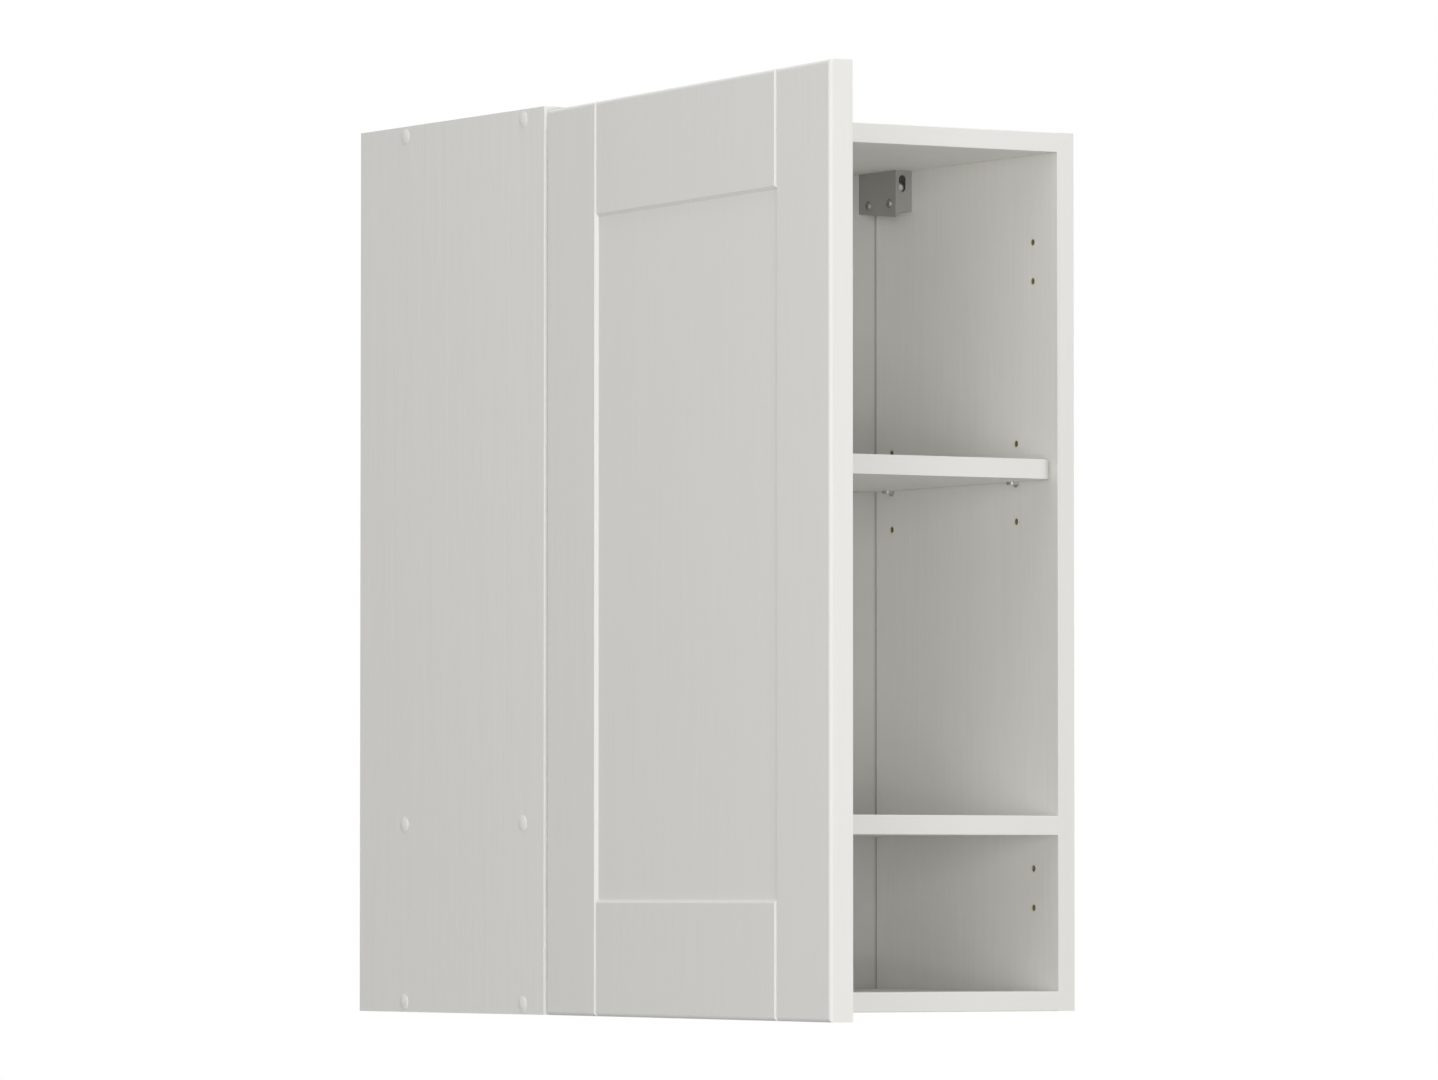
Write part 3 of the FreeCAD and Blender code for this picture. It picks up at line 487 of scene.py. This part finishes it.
@dataclass(frozen=True)
class Laminate(Finish):
    """Light laminate with embossed pores, over chipboard that shows at raw edges and in holes."""

    name: str
    colour: Colour
    grain: Grain
    core: Optional[Core] = None
    roughness: float = 0.58
    spread: float = 0.10
    specular: float = 0.35
    emboss: float = 0.16
    pore_depth: float = 0.05
    streak: float = 0.55
    streak_low: float = 0.25
    streak_high: float = 0.85
    contrast: float = 0.06
    raw_roughness: float = 0.4
    chip_pale: Colour = (0.66, 0.50, 0.315)
    chip_dark: Colour = (0.30, 0.205, 0.12)
    # Chip colours inside drilled holes: painted shade, darker than at the raw edges.
    bore_shade_pale: Colour = (0.345, 0.30, 0.21)
    bore_shade_dark: Colour = (0.125, 0.108, 0.073)

    def material(self, effects: Effects) -> bpy.types.Material:
        """Build the laminate.

        Args:
            effects: Shared shader groups.

        Returns:
            The material.
        """
        material, tree, shader, place = self._start()
        cell = [1 / (size * MILLIMETRE) for size in self.grain.value]
        along = tree.add("ShaderNodeMapping", {"Vector": place, "Scale": cell}).outputs[0]
        grain = self._group(tree, effects.grain, {"Vector": along, "Streak": self.streak})
        share = tree.span(grain["Shade"], self.streak_low, self.streak_high)
        colour = self._tint(tree, share, self.colour, 1 - self.contrast / 2, 1 + self.contrast / 2)
        roughness = self._wiped(tree, effects, place, self.roughness, self.spread)["Roughness"]
        height = grain["Height"]
        if self.core:
            mask = self._core_mask(tree, effects, place, self.core)
            chips = self._raw(tree, effects, place, self.core)
            colour = tree.mix(mask, colour, chips["Color"])
            roughness = tree.math("ADD", roughness, tree.math("MULTIPLY", mask, self.raw_roughness))
            height = tree.math("ADD", height, tree.math("MULTIPLY", mask, chips["Height"]))
        self._end(tree, shader, colour, roughness, self._bump(tree, height, self.emboss, self.pore_depth))
        shader.inputs["Specular IOR Level"].default_value = self.specular
        return material

    def _raw(self, tree: Tree, effects: Effects, place: Any, core: Core) -> Any:
        """Chipboard of the raw middle, with painted shade inside drilled holes.

        Args:
            tree: The material's tree.
            effects: Shared shader groups.
            place: Object coordinates.
            core: Where the raw middle and its bored stretch lie.

        Returns:
            Outputs of the shared chipboard group.
        """
        pale = opaque(self.chip_pale)
        dark = opaque(self.chip_dark)
        # Inside the holes the chip colours are darkened: painted shade.
        if core.bored_front is not None:
            bored = self._bored_mask(tree, effects, place, core)
            pale = tree.mix(bored, pale, opaque(self.bore_shade_pale))
            dark = tree.mix(bored, dark, opaque(self.bore_shade_dark))
        return self._group(tree, effects.chips, {"Vector": place, "Pale": pale, "Dark": dark})

    def _core_mask(self, tree: Tree, effects: Effects, place: Any, core: Core) -> bpy.types.NodeSocket:
        """Mask of the raw middle of the board.

        Args:
            tree: The material's tree.
            effects: Shared shader groups.
            place: Object coordinates.
            core: Where the raw middle lies.

        Returns:
            Mask that is 1 on raw chipboard.
        """
        parts = tree.parts(place)
        across = parts[core.axis.value]
        if core.mirrored:
            across = tree.math("ABSOLUTE", across)
        values = {"Value": across, "Low": core.low, "High": core.high}
        mask = self._group(tree, effects.between, values)["Mask"]
        if core.banded_below is not None:
            mask = tree.math("MULTIPLY", mask, tree.math("GREATER_THAN", parts["Z"], core.banded_below))
        return mask

    def _bored_mask(self, tree: Tree, effects: Effects, place: Any, core: Core) -> bpy.types.NodeSocket:
        """Mask of the stretch in which raw chipboard shows only inside drilled holes, where it takes
        painted shade.

        Args:
            tree: The material's tree.
            effects: Shared shader groups.
            place: Object coordinates.
            core: Where the stretch lies.

        Returns:
            Mask that is 1 in the stretch and 0 at the rear and upper ends of the board.
        """
        parts = tree.parts(place)
        values = {"Value": parts["Y"], "Low": core.bored_front, "High": core.bored_rear}
        inside = self._group(tree, effects.between, values)["Mask"]
        return tree.math("MULTIPLY", inside, tree.math("LESS_THAN", parts["Z"], core.bored_top))


@dataclass(frozen=True)
class Hardboard(Finish):
    """Thin back: painted towards the room, with a painted shadow line at its side joints, and brown fibre
    behind.
    """

    name: str
    colour: Colour
    painted_face: float
    # Near each side panel the paint is darkened: a painted shadow line for the shade in the groove.
    shadow_line_start: float
    shadow_line_share: float = 0.82
    paint_depth: float = 0.0002
    paint_dim: float = 0.985
    paint_pale: float = 1.01
    fibre: Colour = (0.33, 0.215, 0.12)
    fibre_dim: float = 0.7
    fibre_pale: float = 1.35
    fibre_scale: float = 700.0
    fibre_roughness: float = 0.7
    mesh_scale: float = 900.0
    roughness: float = 0.5
    spread: float = 0.12
    raw_roughness: float = 0.35
    relief: float = 0.12
    relief_depth: float = 0.08

    def material(self, effects: Effects) -> bpy.types.Material:
        """Build the hardboard.

        Args:
            effects: Shared shader groups.

        Returns:
            The material.
        """
        material, tree, shader, place = self._start()
        parts = tree.parts(place)
        raw = tree.math("GREATER_THAN", parts["Y"], self.painted_face + self.paint_depth)
        strands = tree.noise(place, self.fibre_scale, detail=5.0, roughness=self.fibre_roughness)
        fibres = strands.outputs["Fac"]
        mesh = tree.add("ShaderNodeTexVoronoi", {"Vector": place, "Scale": self.mesh_scale})
        brown = self._tint(tree, fibres, self.fibre, self.fibre_dim, self.fibre_pale)
        wiped = self._wiped(tree, effects, place, self.roughness, self.spread)
        paint = self._tint(tree, wiped["Shade"], self.colour, self.paint_dim, self.paint_pale)
        # Painted shadow line along both upright joints, where the back runs into its groove.
        joint = tree.math("GREATER_THAN", tree.math("ABSOLUTE", parts["X"]), self.shadow_line_start)
        paint = tree.mix(joint, paint, opaque(shaded(self.colour, self.shadow_line_share)))
        roughness = tree.math("ADD", wiped["Roughness"], tree.math("MULTIPLY", raw, self.raw_roughness))
        height = tree.math("ADD", fibres, tree.math("MULTIPLY", raw, mesh.outputs["Distance"]))
        normal = self._bump(tree, height, self.relief, self.relief_depth)
        self._end(tree, shader, tree.mix(raw, paint, brown), roughness, normal)
        return material


@dataclass(frozen=True)
class Plated(Finish):
    """Plated steel with fine drawing lines."""

    name: str
    colour: Colour
    roughness: float
    spread: float = 0.18
    dim: float = 0.86
    pale: float = 1.12
    relief: float = 0.08
    relief_depth: float = 0.02

    def material(self, effects: Effects) -> bpy.types.Material:
        """Build the plated steel.

        Args:
            effects: Shared shader groups.

        Returns:
            The material.
        """
        material, tree, shader, place = self._start()
        lines = self._group(tree, effects.brushing, {"Vector": place})
        roughness = self._wiped(tree, effects, place, self.roughness, self.spread)["Roughness"]
        colour = self._tint(tree, lines["Shade"], self.colour, self.dim, self.pale)
        normal = self._bump(tree, lines["Height"], self.relief, self.relief_depth)
        self._end(tree, shader, colour, roughness, normal)
        shader.inputs["Metallic"].default_value = 1.0
        return material


@dataclass(frozen=True)
class Moulded(Finish):
    """Moulded plastic with a fine spark-eroded skin."""

    name: str
    colour: Colour
    roughness: float
    skin: float = 0.10
    clear: float = 0.0
    spread: float = 0.14
    dim: float = 0.96
    pale: float = 1.04
    skin_scale: float = 2600.0
    skin_depth: float = 0.03

    def material(self, effects: Effects) -> bpy.types.Material:
        """Build the plastic.

        Args:
            effects: Shared shader groups.

        Returns:
            The material.
        """
        material, tree, shader, place = self._start()
        wiped = self._wiped(tree, effects, place, self.roughness, self.spread)
        skin = tree.noise(place, self.skin_scale, detail=3.0)
        colour = self._tint(tree, wiped["Shade"], self.colour, self.dim, self.pale)
        normal = self._bump(tree, skin.outputs["Fac"], self.skin, self.skin_depth)
        self._end(tree, shader, colour, wiped["Roughness"], normal)
        shader.inputs["Transmission Weight"].default_value = self.clear
        return material


@dataclass(frozen=True)
class Beech(Finish):
    """Turned beech with short dark flecks."""

    name: str
    colour: Colour
    fleck_scale: Tuple[float, float, float] = (90.0, 900.0, 900.0)
    dim: float = 0.72
    pale: float = 1.2
    roughness: float = 0.55
    spread: float = 0.1
    relief: float = 0.1
    relief_depth: float = 0.05

    def material(self, effects: Effects) -> bpy.types.Material:
        """Build the wood.

        Args:
            effects: Shared shader groups.

        Returns:
            The material.
        """
        material, tree, shader, place = self._start()
        along = tree.add("ShaderNodeMapping", {"Vector": place, "Scale": self.fleck_scale}).outputs[0]
        flecks = tree.noise(along, scale=1.0, detail=4.0).outputs["Fac"]
        colour = self._tint(tree, flecks, self.colour, self.dim, self.pale)
        roughness = self._wiped(tree, effects, place, self.roughness, self.spread)["Roughness"]
        self._end(tree, shader, colour, roughness, self._bump(tree, flecks, self.relief, self.relief_depth))
        return material


@dataclass(frozen=True)
class CutRim(Finish):
    """Bare edge that the drill leaves round a hole in the laminate."""

    name: str
    pale: Colour = (0.82, 0.76, 0.56)
    dark: Colour = (0.66, 0.58, 0.38)
    roughness: float = 0.82
    spread: float = 0.12
    relief: float = 0.2
    relief_depth: float = 0.05

    def material(self, effects: Effects) -> bpy.types.Material:
        """Build the bare edge.

        Args:
            effects: Shared shader groups.

        Returns:
            The material.
        """
        material, tree, shader, place = self._start()
        values = {"Vector": place, "Pale": opaque(self.pale), "Dark": opaque(self.dark)}
        chips = self._group(tree, effects.chips, values)
        roughness = self._wiped(tree, effects, place, self.roughness, self.spread)["Roughness"]
        normal = self._bump(tree, chips["Height"], self.relief, self.relief_depth)
        self._end(tree, shader, chips["Color"], roughness, normal)
        return material


def dress(node: str, material: bpy.types.Material) -> None:
    """Give a CAD node its material.

    Args:
        node: Name of the node.
        material: Its finish.
    """
    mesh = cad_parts[node].data
    mesh.materials.clear()
    mesh.materials.append(material)
    LOG.info("dressed %s with %s", node, material.name)


def edge_band(name: str, grain: Grain) -> Laminate:
    """Finish of an edge band, smoother than the boards.

    Args:
        name: Name of the finish.
        grain: Direction of its pores.

    Returns:
        The finish.
    """
    return Laminate(name, LAMINATE_TONE, grain, emboss=0.08, contrast=0.015)


def level_board(node: str, name: str, skin: float) -> Laminate:
    """Finish of a level board with raw ends.

    Args:
        node: Name of the board's node.
        name: Name of the finish.
        skin: Thickness of the laminate on its faces, in metres.

    Returns:
        The finish.
    """
    low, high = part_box(node)
    return Laminate(name, LAMINATE_TONE, Grain.CROSSWISE, Core(Axis.Z, low.z + skin, high.z - skin))


class Ringing:
    """Geometry nodes that lay a flat ring on every point of a mesh, facing along X."""

    PATH_POINTS = 40
    SECTION_POINTS = 8

    def __init__(self) -> None:
        """Build the tree with its named sizes."""
        group = bpy.data.node_groups.new("drill_rims", "GeometryNodeTree")
        group.is_modifier = True
        self.tree = Tree(group)
        self.sockets: Dict[str, str] = {}
        for label, direction, kind in (
            ("Geometry", "INPUT", "NodeSocketGeometry"),
            ("Bore Radius", "INPUT", "NodeSocketFloat"),
            ("Rim Width", "INPUT", "NodeSocketFloat"),
            ("Rim Height", "INPUT", "NodeSocketFloat"),
            ("Finish", "INPUT", "NodeSocketMaterial"),
            ("Geometry", "OUTPUT", "NodeSocketGeometry"),
        ):
            socket = group.interface.new_socket(name=label, in_out=direction, socket_type=kind)
            if direction == "INPUT":
                self.sockets[label] = socket.identifier
        self._nodes()

    def _nodes(self) -> None:
        """Join the nodes: a round path, a flattened round section, and one ring on each point."""
        tree = self.tree
        source = tree.add("NodeGroupInput").outputs
        half = tree.math("MULTIPLY", source["Rim Width"], 0.5)
        middle = tree.math("ADD", source["Bore Radius"], half)
        circle = "GeometryNodeCurvePrimitiveCircle"
        path = tree.add(circle, {"Resolution": self.PATH_POINTS, "Radius": middle})
        section = tree.add(circle, {"Resolution": self.SECTION_POINTS, "Radius": half})
        sweep = {"Curve": path.outputs[0], "Profile Curve": section.outputs[0]}
        ring = tree.add("GeometryNodeCurveToMesh", sweep)
        flatness = tree.math("DIVIDE", source["Rim Height"], source["Rim Width"])
        flat = tree.add("ShaderNodeCombineXYZ", {0: 1.0, 1: 1.0, 2: flatness})
        pressed = tree.add("GeometryNodeTransform", {"Geometry": ring.outputs[0], "Scale": flat.outputs[0]})
        turn = (0.0, math.radians(90), 0.0)
        placed = tree.add(
            "GeometryNodeInstanceOnPoints",
            {"Points": source["Geometry"], "Instance": pressed.outputs[0], "Rotation": turn},
        )
        single = tree.add("GeometryNodeRealizeInstances", {0: placed.outputs[0]})
        coat = {"Geometry": single.outputs[0], "Material": source["Finish"]}
        finished = tree.add("GeometryNodeSetMaterial", coat)
        tree.add("NodeGroupOutput", {0: finished.outputs[0]})

    def lay(self, name: str, points: Sequence[Vector], sizes: Dict[str, Any]) -> bpy.types.Object:
        """Lay the rings and keep them as a plain mesh.

        Args:
            name: Name of the piece.
            points: Where the rings go.
            sizes: Value of each named input.

        Returns:
            The piece.
        """
        seats = bpy.data.meshes.new(name + "_seats")
        seats.from_pydata([tuple(point) for point in points], [], [])
        carrier = bpy.data.objects.new(name + "_seats", seats)
        bpy.context.scene.collection.objects.link(carrier)
        modifier = carrier.modifiers.new("rims", "NODES")
        modifier.node_group = self.tree.tree
        for label, value in sizes.items():
            modifier[self.sockets[label]] = value
        evaluated = carrier.evaluated_get(bpy.context.evaluated_depsgraph_get())
        mesh = bpy.data.meshes.new_from_object(evaluated)
        bpy.data.objects.remove(carrier)
        bpy.data.meshes.remove(seats)
        piece = bpy.data.objects.new(name, mesh)
        bpy.context.scene.collection.objects.link(piece)
        return piece


@dataclass
class Carcass:
    """Boards, bands, back, joints and their caps."""

    inner_half: float = 0.234
    outer_half: float = 0.25
    skin: float = 0.00025
    foot_band: float = 0.0004
    boards: Sequence[str] = ("top_panel", "bottom_panel", "fixed_shelf")
    level_bands: Sequence[str] = ("top_edge_band", "bottom_edge_band", "fixed_shelf_edge_band")
    hands: Sequence[str] = ("left", "right")
    cap_joints: Sequence[str] = ("top", "shelf", "bottom")
    # The back's colour is the laminate tone darkened: painted shade for the dimmer light at the rear of the
    # cabinet.
    back_shade_share: float = 0.71
    front: float = -0.3
    bored_rear: float = -0.03
    bored_top: float = 0.70
    hole_radius: float = 0.0025
    hole_pitch: float = 0.032
    shelf_hole_setbacks: Sequence[float] = (0.0624, 0.2544)
    shelf_hole_middle: float = 0.433
    hinge_hole_setback: float = 0.037
    hinge_heights: Sequence[float] = (0.1, 0.6135)
    rim_width: float = 0.0008
    rim_height: float = 0.00006
    # Width of the painted shadow line on the back along each side panel.
    shadow_line_width: float = 0.0012

    def _bores(self, side: float) -> List[Vector]:
        """Middles of the drilled holes that stand open on the inner face of one side panel.

        Args:
            side: -1 for the left panel, whose hinge plates cover their holes, and 1 for the right one.

        Returns:
            One point for each hole.
        """
        heights = {
            setback: [self.shelf_hole_middle + row * self.hole_pitch for row in (-1, 1)]
            for setback in self.shelf_hole_setbacks
        }
        if side > 0:
            heights[self.hinge_hole_setback] = [
                middle + row * self.hole_pitch for middle in self.hinge_heights for row in (-0.5, 0.5)
            ]
        return [
            Vector((side * self.inner_half, self.front + setback, height))
            for setback, column in heights.items()
            for height in column
        ]

    def build(self, effects: Effects) -> None:
        """Lay a bare rim round every hole that stands open.

        Args:
            effects: Shared shader groups.
        """
        ringing = Ringing()
        sizes = {
            "Bore Radius": self.hole_radius,
            "Rim Width": self.rim_width,
            "Rim Height": self.rim_height,
            "Finish": CutRim("drilled_rim").material(effects),
        }
        for hand, side in zip(self.hands, (-1.0, 1.0)):
            rims = ringing.lay(hand + "_drill_rims", self._bores(side), sizes)
            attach(rims, "carcass")
            LOG.info("laid %d faces of %s", len(rims.data.polygons), rims.name)

    def dress(self, effects: Effects) -> None:
        """Give every piece of the carcass its finish.

        Args:
            effects: Shared shader groups.
        """
        side_core = Core(
            Axis.X,
            self.inner_half + self.skin,
            self.outer_half - self.skin,
            mirrored=True,
            banded_below=self.foot_band,
            bored_front=self.front,
            bored_rear=self.bored_rear,
            bored_top=self.bored_top,
        )
        side = Laminate("side_laminate", LAMINATE_TONE, Grain.UPRIGHT, side_core).material(effects)
        upright = edge_band("upright_band", Grain.UPRIGHT).material(effects)
        cap = Moulded("cap_plastic", LAMINATE_TONE, roughness=0.52).material(effects)
        for hand in self.hands:
            dress(hand + "_side_panel", side)
            dress(hand + "_side_edge_band", upright)
            for joint in self.cap_joints:
                dress(hand + "_" + joint + "_cover_caps", cap)
        for board in self.boards:
            dress(board, level_board(board, board + "_laminate", self.skin).material(effects))
        across = edge_band("level_band", Grain.CROSSWISE).material(effects)
        for band in self.level_bands:
            dress(band, across)
        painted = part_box("back_panel")[0].y
        shadow_line_start = self.inner_half - self.shadow_line_width
        # The back's colour carries painted shade; the last millimetre at each side gets a painted shadow
        # line.
        back = Hardboard("back_hardboard", shaded(LAMINATE_TONE, self.back_shade_share), painted, shadow_line_start)
        dress("back_panel", back.material(effects))
        screw = Plated("zinc_screw", (0.55, 0.55, 0.54), roughness=0.34)
        dress("connecting_screws", screw.material(effects))
        dress("wooden_dowels", Beech("dowel_beech", (0.56, 0.38, 0.22)).material(effects))


@dataclass
class LooseShelf:
    """Adjustable shelf, its band and its supports."""

    skin: float = 0.00025

    def dress(self, effects: Effects) -> None:
        """Give the shelf and its supports their finish.

        Args:
            effects: Shared shader groups.
        """
        board = level_board("adjustable_shelf", "shelf_laminate", self.skin)
        dress("adjustable_shelf", board.material(effects))
        dress("adjustable_shelf_edge_band", edge_band("shelf_band", Grain.CROSSWISE).material(effects))
        nickel = Plated("support_nickel", (0.56, 0.56, 0.54), roughness=0.52)
        dress("shelf_supports", nickel.material(effects))


@dataclass
class Door:
    """Framed door with its bumpers."""

    foil_roughness: float = 0.56
    foil_emboss: float = 0.10
    foil_contrast: float = 0.035

    def dress(self, effects: Effects) -> None:
        """Give the door its finish.

        Args:
            effects: Shared shader groups.
        """
        foil = Laminate(
            "door_foil",
            LAMINATE_TONE,
            Grain.UPRIGHT,
            roughness=self.foil_roughness,
            emboss=self.foil_emboss,
            contrast=self.foil_contrast,
        )
        dress("door_front", foil.material(effects))
        rubber = Moulded("bumper_rubber", (0.62, 0.62, 0.60), roughness=0.5, skin=0.05, clear=0.3)
        dress("door_bumpers", rubber.material(effects))


@dataclass
class Hinges:
    """Two concealed hinges: cups, links, arms, plates and their pins and screws."""

    places: Sequence[str] = ("upper", "lower")
    pieces: Sequence[str] = ("hinge_cup", "inner_link", "outer_link", "hinge_arm", "hinge_plate")
    pins: Sequence[str] = ("hinge_arm_pins", "hinge_cup_pins")
    screws: Sequence[str] = ("hinge_arm_screws", "hinge_plate_screws", "hinge_cup_screws")

    def dress(self, effects: Effects) -> None:
        """Give every hinge piece its finish.

        Args:
            effects: Shared shader groups.
        """
        nickel = Plated("hinge_nickel", (0.60, 0.59, 0.57), roughness=0.26).material(effects)
        for place in self.places:
            for piece in self.pieces:
                dress(place + "_" + piece, nickel)
        for pins in self.pins:
            dress(pins, nickel)
        screw = Plated("hinge_screw", (0.56, 0.56, 0.55), roughness=0.3).material(effects)
        for screws in self.screws:
            dress(screws, screw)


@dataclass
class Hangers:
    """Two cabinet hangers with their carriages, hooks and screws."""

    hands: Sequence[str] = ("left", "right")

    def dress(self, effects: Effects) -> None:
        """Give every hanger piece its finish.

        Args:
            effects: Shared shader groups.
        """
        shell = Moulded("hanger_plastic", (0.33, 0.33, 0.31), roughness=0.5, skin=0.16).material(effects)
        steel = Plated("hook_zinc", (0.52, 0.52, 0.51), roughness=0.36).material(effects)
        screw = Plated("adjusting_screw", (0.64, 0.64, 0.62), roughness=0.40).material(effects)
        fixing = Plated("fixing_screw", (0.38, 0.38, 0.37), roughness=0.64).material(effects)
        for hand in self.hands:
            dress(hand + "_hanger_housing", shell)
            for piece in ("hook_carriage", "hanger_hook"):
                dress(hand + "_" + piece, steel)
            for piece in ("depth_screw", "height_screw"):
                dress(hand + "_" + piece, screw)
        dress("hanger_fixing_screws", fixing)


@dataclass(frozen=True)
class Softbox:
    """Large soft lamp that points at the cabinet."""

    name: str
    place: Tuple[float, float, float]
    width: float
    height: float
    power: float


@dataclass
class Stage:
    """Floor, lamps, world and camera."""

    floor_height: float = -1.4
    floor_reach: float = 4.0
    floor_corners: int = 96
    floor_middle: float = -0.3
    floor_roughness: float = 0.7
    fade_start: float = 0.45
    fade_end: float = 0.92
    floor_tone: Colour = (0.86, 0.86, 0.86)
    floor_bounce: Colour = (0.34, 0.34, 0.34)
    white: Colour = (1.0, 1.0, 1.0)
    ambient_strength: float = 0.34
    aim: Tuple[float, float, float] = (0.0, -0.3, 0.36)
    lamps: List[Softbox] = field(
        default_factory=lambda: [
            Softbox("overhead", (0.0, -1.2, 5.0), 4.0, 4.0, 122.0),
            Softbox("level_key", (-2.9, -5.5, 0.35), 2.2, 2.0, 115.0),
            Softbox("low_fill", (-2.2, -5.0, -1.0), 2.4, 1.4, 32.0),
            Softbox("left_high", (-4.8, -1.5, 3.6), 3.0, 3.0, 12.0),
            Softbox("left_near", (-2.6, -1.5, 1.3), 1.4, 1.2, 9.0),
            Softbox("right_fill", (5.2, -1.6, 0.6), 3.0, 3.0, 74.0),
        ]
    )
    camera_place: Tuple[float, float, float] = (-3.85059, -6.53841, 0.0909977)
    camera_yaw: float = 31.0893
    camera_pitch: float = 2.25058
    camera_lens: float = 228.807
    camera_sensor: float = 36.0
    camera_reach: float = 100.0

    def build(self) -> None:
        """Set up everything around the object."""
        self._floor()
        self._world()
        for lamp in self.lamps:
            self._softbox(lamp)
        self._camera()
        bpy.context.scene.view_settings.view_transform = "Standard"

    def _floor(self) -> None:
        """Pale round floor whose rim fades out."""
        mesh = bpy.data.meshes.new("floor")
        shape = bmesh.new()
        bmesh.ops.create_circle(shape, cap_ends=True, segments=self.floor_corners, radius=self.floor_reach)
        bmesh.ops.translate(shape, verts=shape.verts, vec=(0, self.floor_middle, self.floor_height))
        shape.to_mesh(mesh)
        shape.free()
        floor = bpy.data.objects.new("floor", mesh)
        bpy.context.scene.collection.objects.link(floor)
        mesh.materials.append(self._floor_paint())

    def _floor_paint(self) -> bpy.types.Material:
        """Paint of the floor, which gives back less light than it shows.

        Returns:
            The material.
        """
        material = bpy.data.materials.new("pale_floor")
        material.use_nodes = True
        material.node_tree.nodes.clear()
        tree = Tree(material.node_tree)
        parts = tree.parts(tree.add("ShaderNodeTexCoord").outputs["Object"])
        flat = tree.add("ShaderNodeCombineXYZ", {0: parts["X"], 1: parts["Y"]})
        reach = tree.add("ShaderNodeVectorMath", {0: flat.outputs[0]}, operation="LENGTH").outputs["Value"]
        fade = tree.span(reach, self.fade_start * self.floor_reach, self.fade_end * self.floor_reach)
        colour = tree.mix(self._shown(tree), opaque(self.floor_bounce), opaque(self.floor_tone))
        values = {"Base Color": colour, "Roughness": self.floor_roughness}
        paint = tree.add("ShaderNodeBsdfPrincipled", values)
        clear = tree.add("ShaderNodeBsdfTransparent")
        both = tree.add("ShaderNodeMixShader", {0: fade, 1: paint.outputs[0], 2: clear.outputs[0]})
        tree.add("ShaderNodeOutputMaterial", {"Surface": both.outputs[0]})
        return material

    @staticmethod
    def _shown(tree: Tree) -> bpy.types.NodeSocket:
        """Mask of the rays that show a surface, straight, in a reflection or through something clear.

        Args:
            tree: The material's or the world's tree.

        Returns:
            Mask that is 1 for these rays and 0 for rays that only carry light.
        """
        rays = tree.add("ShaderNodeLightPath").outputs
        seen = tree.math("MAXIMUM", rays["Is Camera Ray"], rays["Is Glossy Ray"])
        return tree.math("MAXIMUM", seen, rays["Is Transmission Ray"])

    def _world(self) -> None:
        """White to the camera and in reflections, plain ambient light for everything else."""
        world = bpy.data.worlds.new("studio")
        bpy.context.scene.world = world
        world.use_nodes = True
        world.node_tree.nodes.clear()
        tree = Tree(world.node_tree)
        white = opaque(self.white)
        ambient = tree.add("ShaderNodeBackground", {"Color": white, "Strength": self.ambient_strength})
        bright = tree.add("ShaderNodeBackground", {"Color": white, "Strength": 1.0})
        shares = {0: self._shown(tree), 1: ambient.outputs[0], 2: bright.outputs[0]}
        both = tree.add("ShaderNodeMixShader", shares)
        tree.add("ShaderNodeOutputWorld", {"Surface": both.outputs[0]})

    def _softbox(self, box: Softbox) -> None:
        """Add one soft lamp.

        Args:
            box: Its place, size and power.
        """
        data = bpy.data.lights.new(box.name, "AREA")
        data.shape = "RECTANGLE"
        data.size = box.width
        data.size_y = box.height
        data.energy = box.power
        lamp = bpy.data.objects.new(box.name, data)
        lamp.location = box.place
        lamp.visible_camera = False
        lamp.rotation_euler = (Vector(self.aim) - Vector(box.place)).to_track_quat("-Z", "Y").to_euler()
        bpy.context.scene.collection.objects.link(lamp)

    def _camera(self) -> None:
        """Add the camera at the photograph's place."""
        data = bpy.data.cameras.new("camera")
        data.sensor_fit = "HORIZONTAL"
        data.sensor_width = self.camera_sensor
        data.lens = self.camera_lens
        data.clip_end = self.camera_reach
        camera = bpy.data.objects.new("camera", data)
        camera.location = self.camera_place
        camera.rotation_euler = (math.radians(90 + self.camera_pitch), 0, -math.radians(self.camera_yaw))
        bpy.context.scene.collection.objects.link(camera)
        bpy.context.scene.camera = camera


def main() -> None:
    """Build and dress every sub-assembly, then set the stage."""
    logging.basicConfig(level=logging.INFO, format="%(name)s: %(message)s")
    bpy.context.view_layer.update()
    effects = Effects()
    carcass = Carcass()
    carcass.build(effects)
    for assembly in (carcass, LooseShelf(), Door(), Hinges(), Hangers()):
        assembly.dress(effects)
        LOG.info("finished %s", type(assembly).__name__)
    Stage().build()


if __name__ == "__main__":
    main()
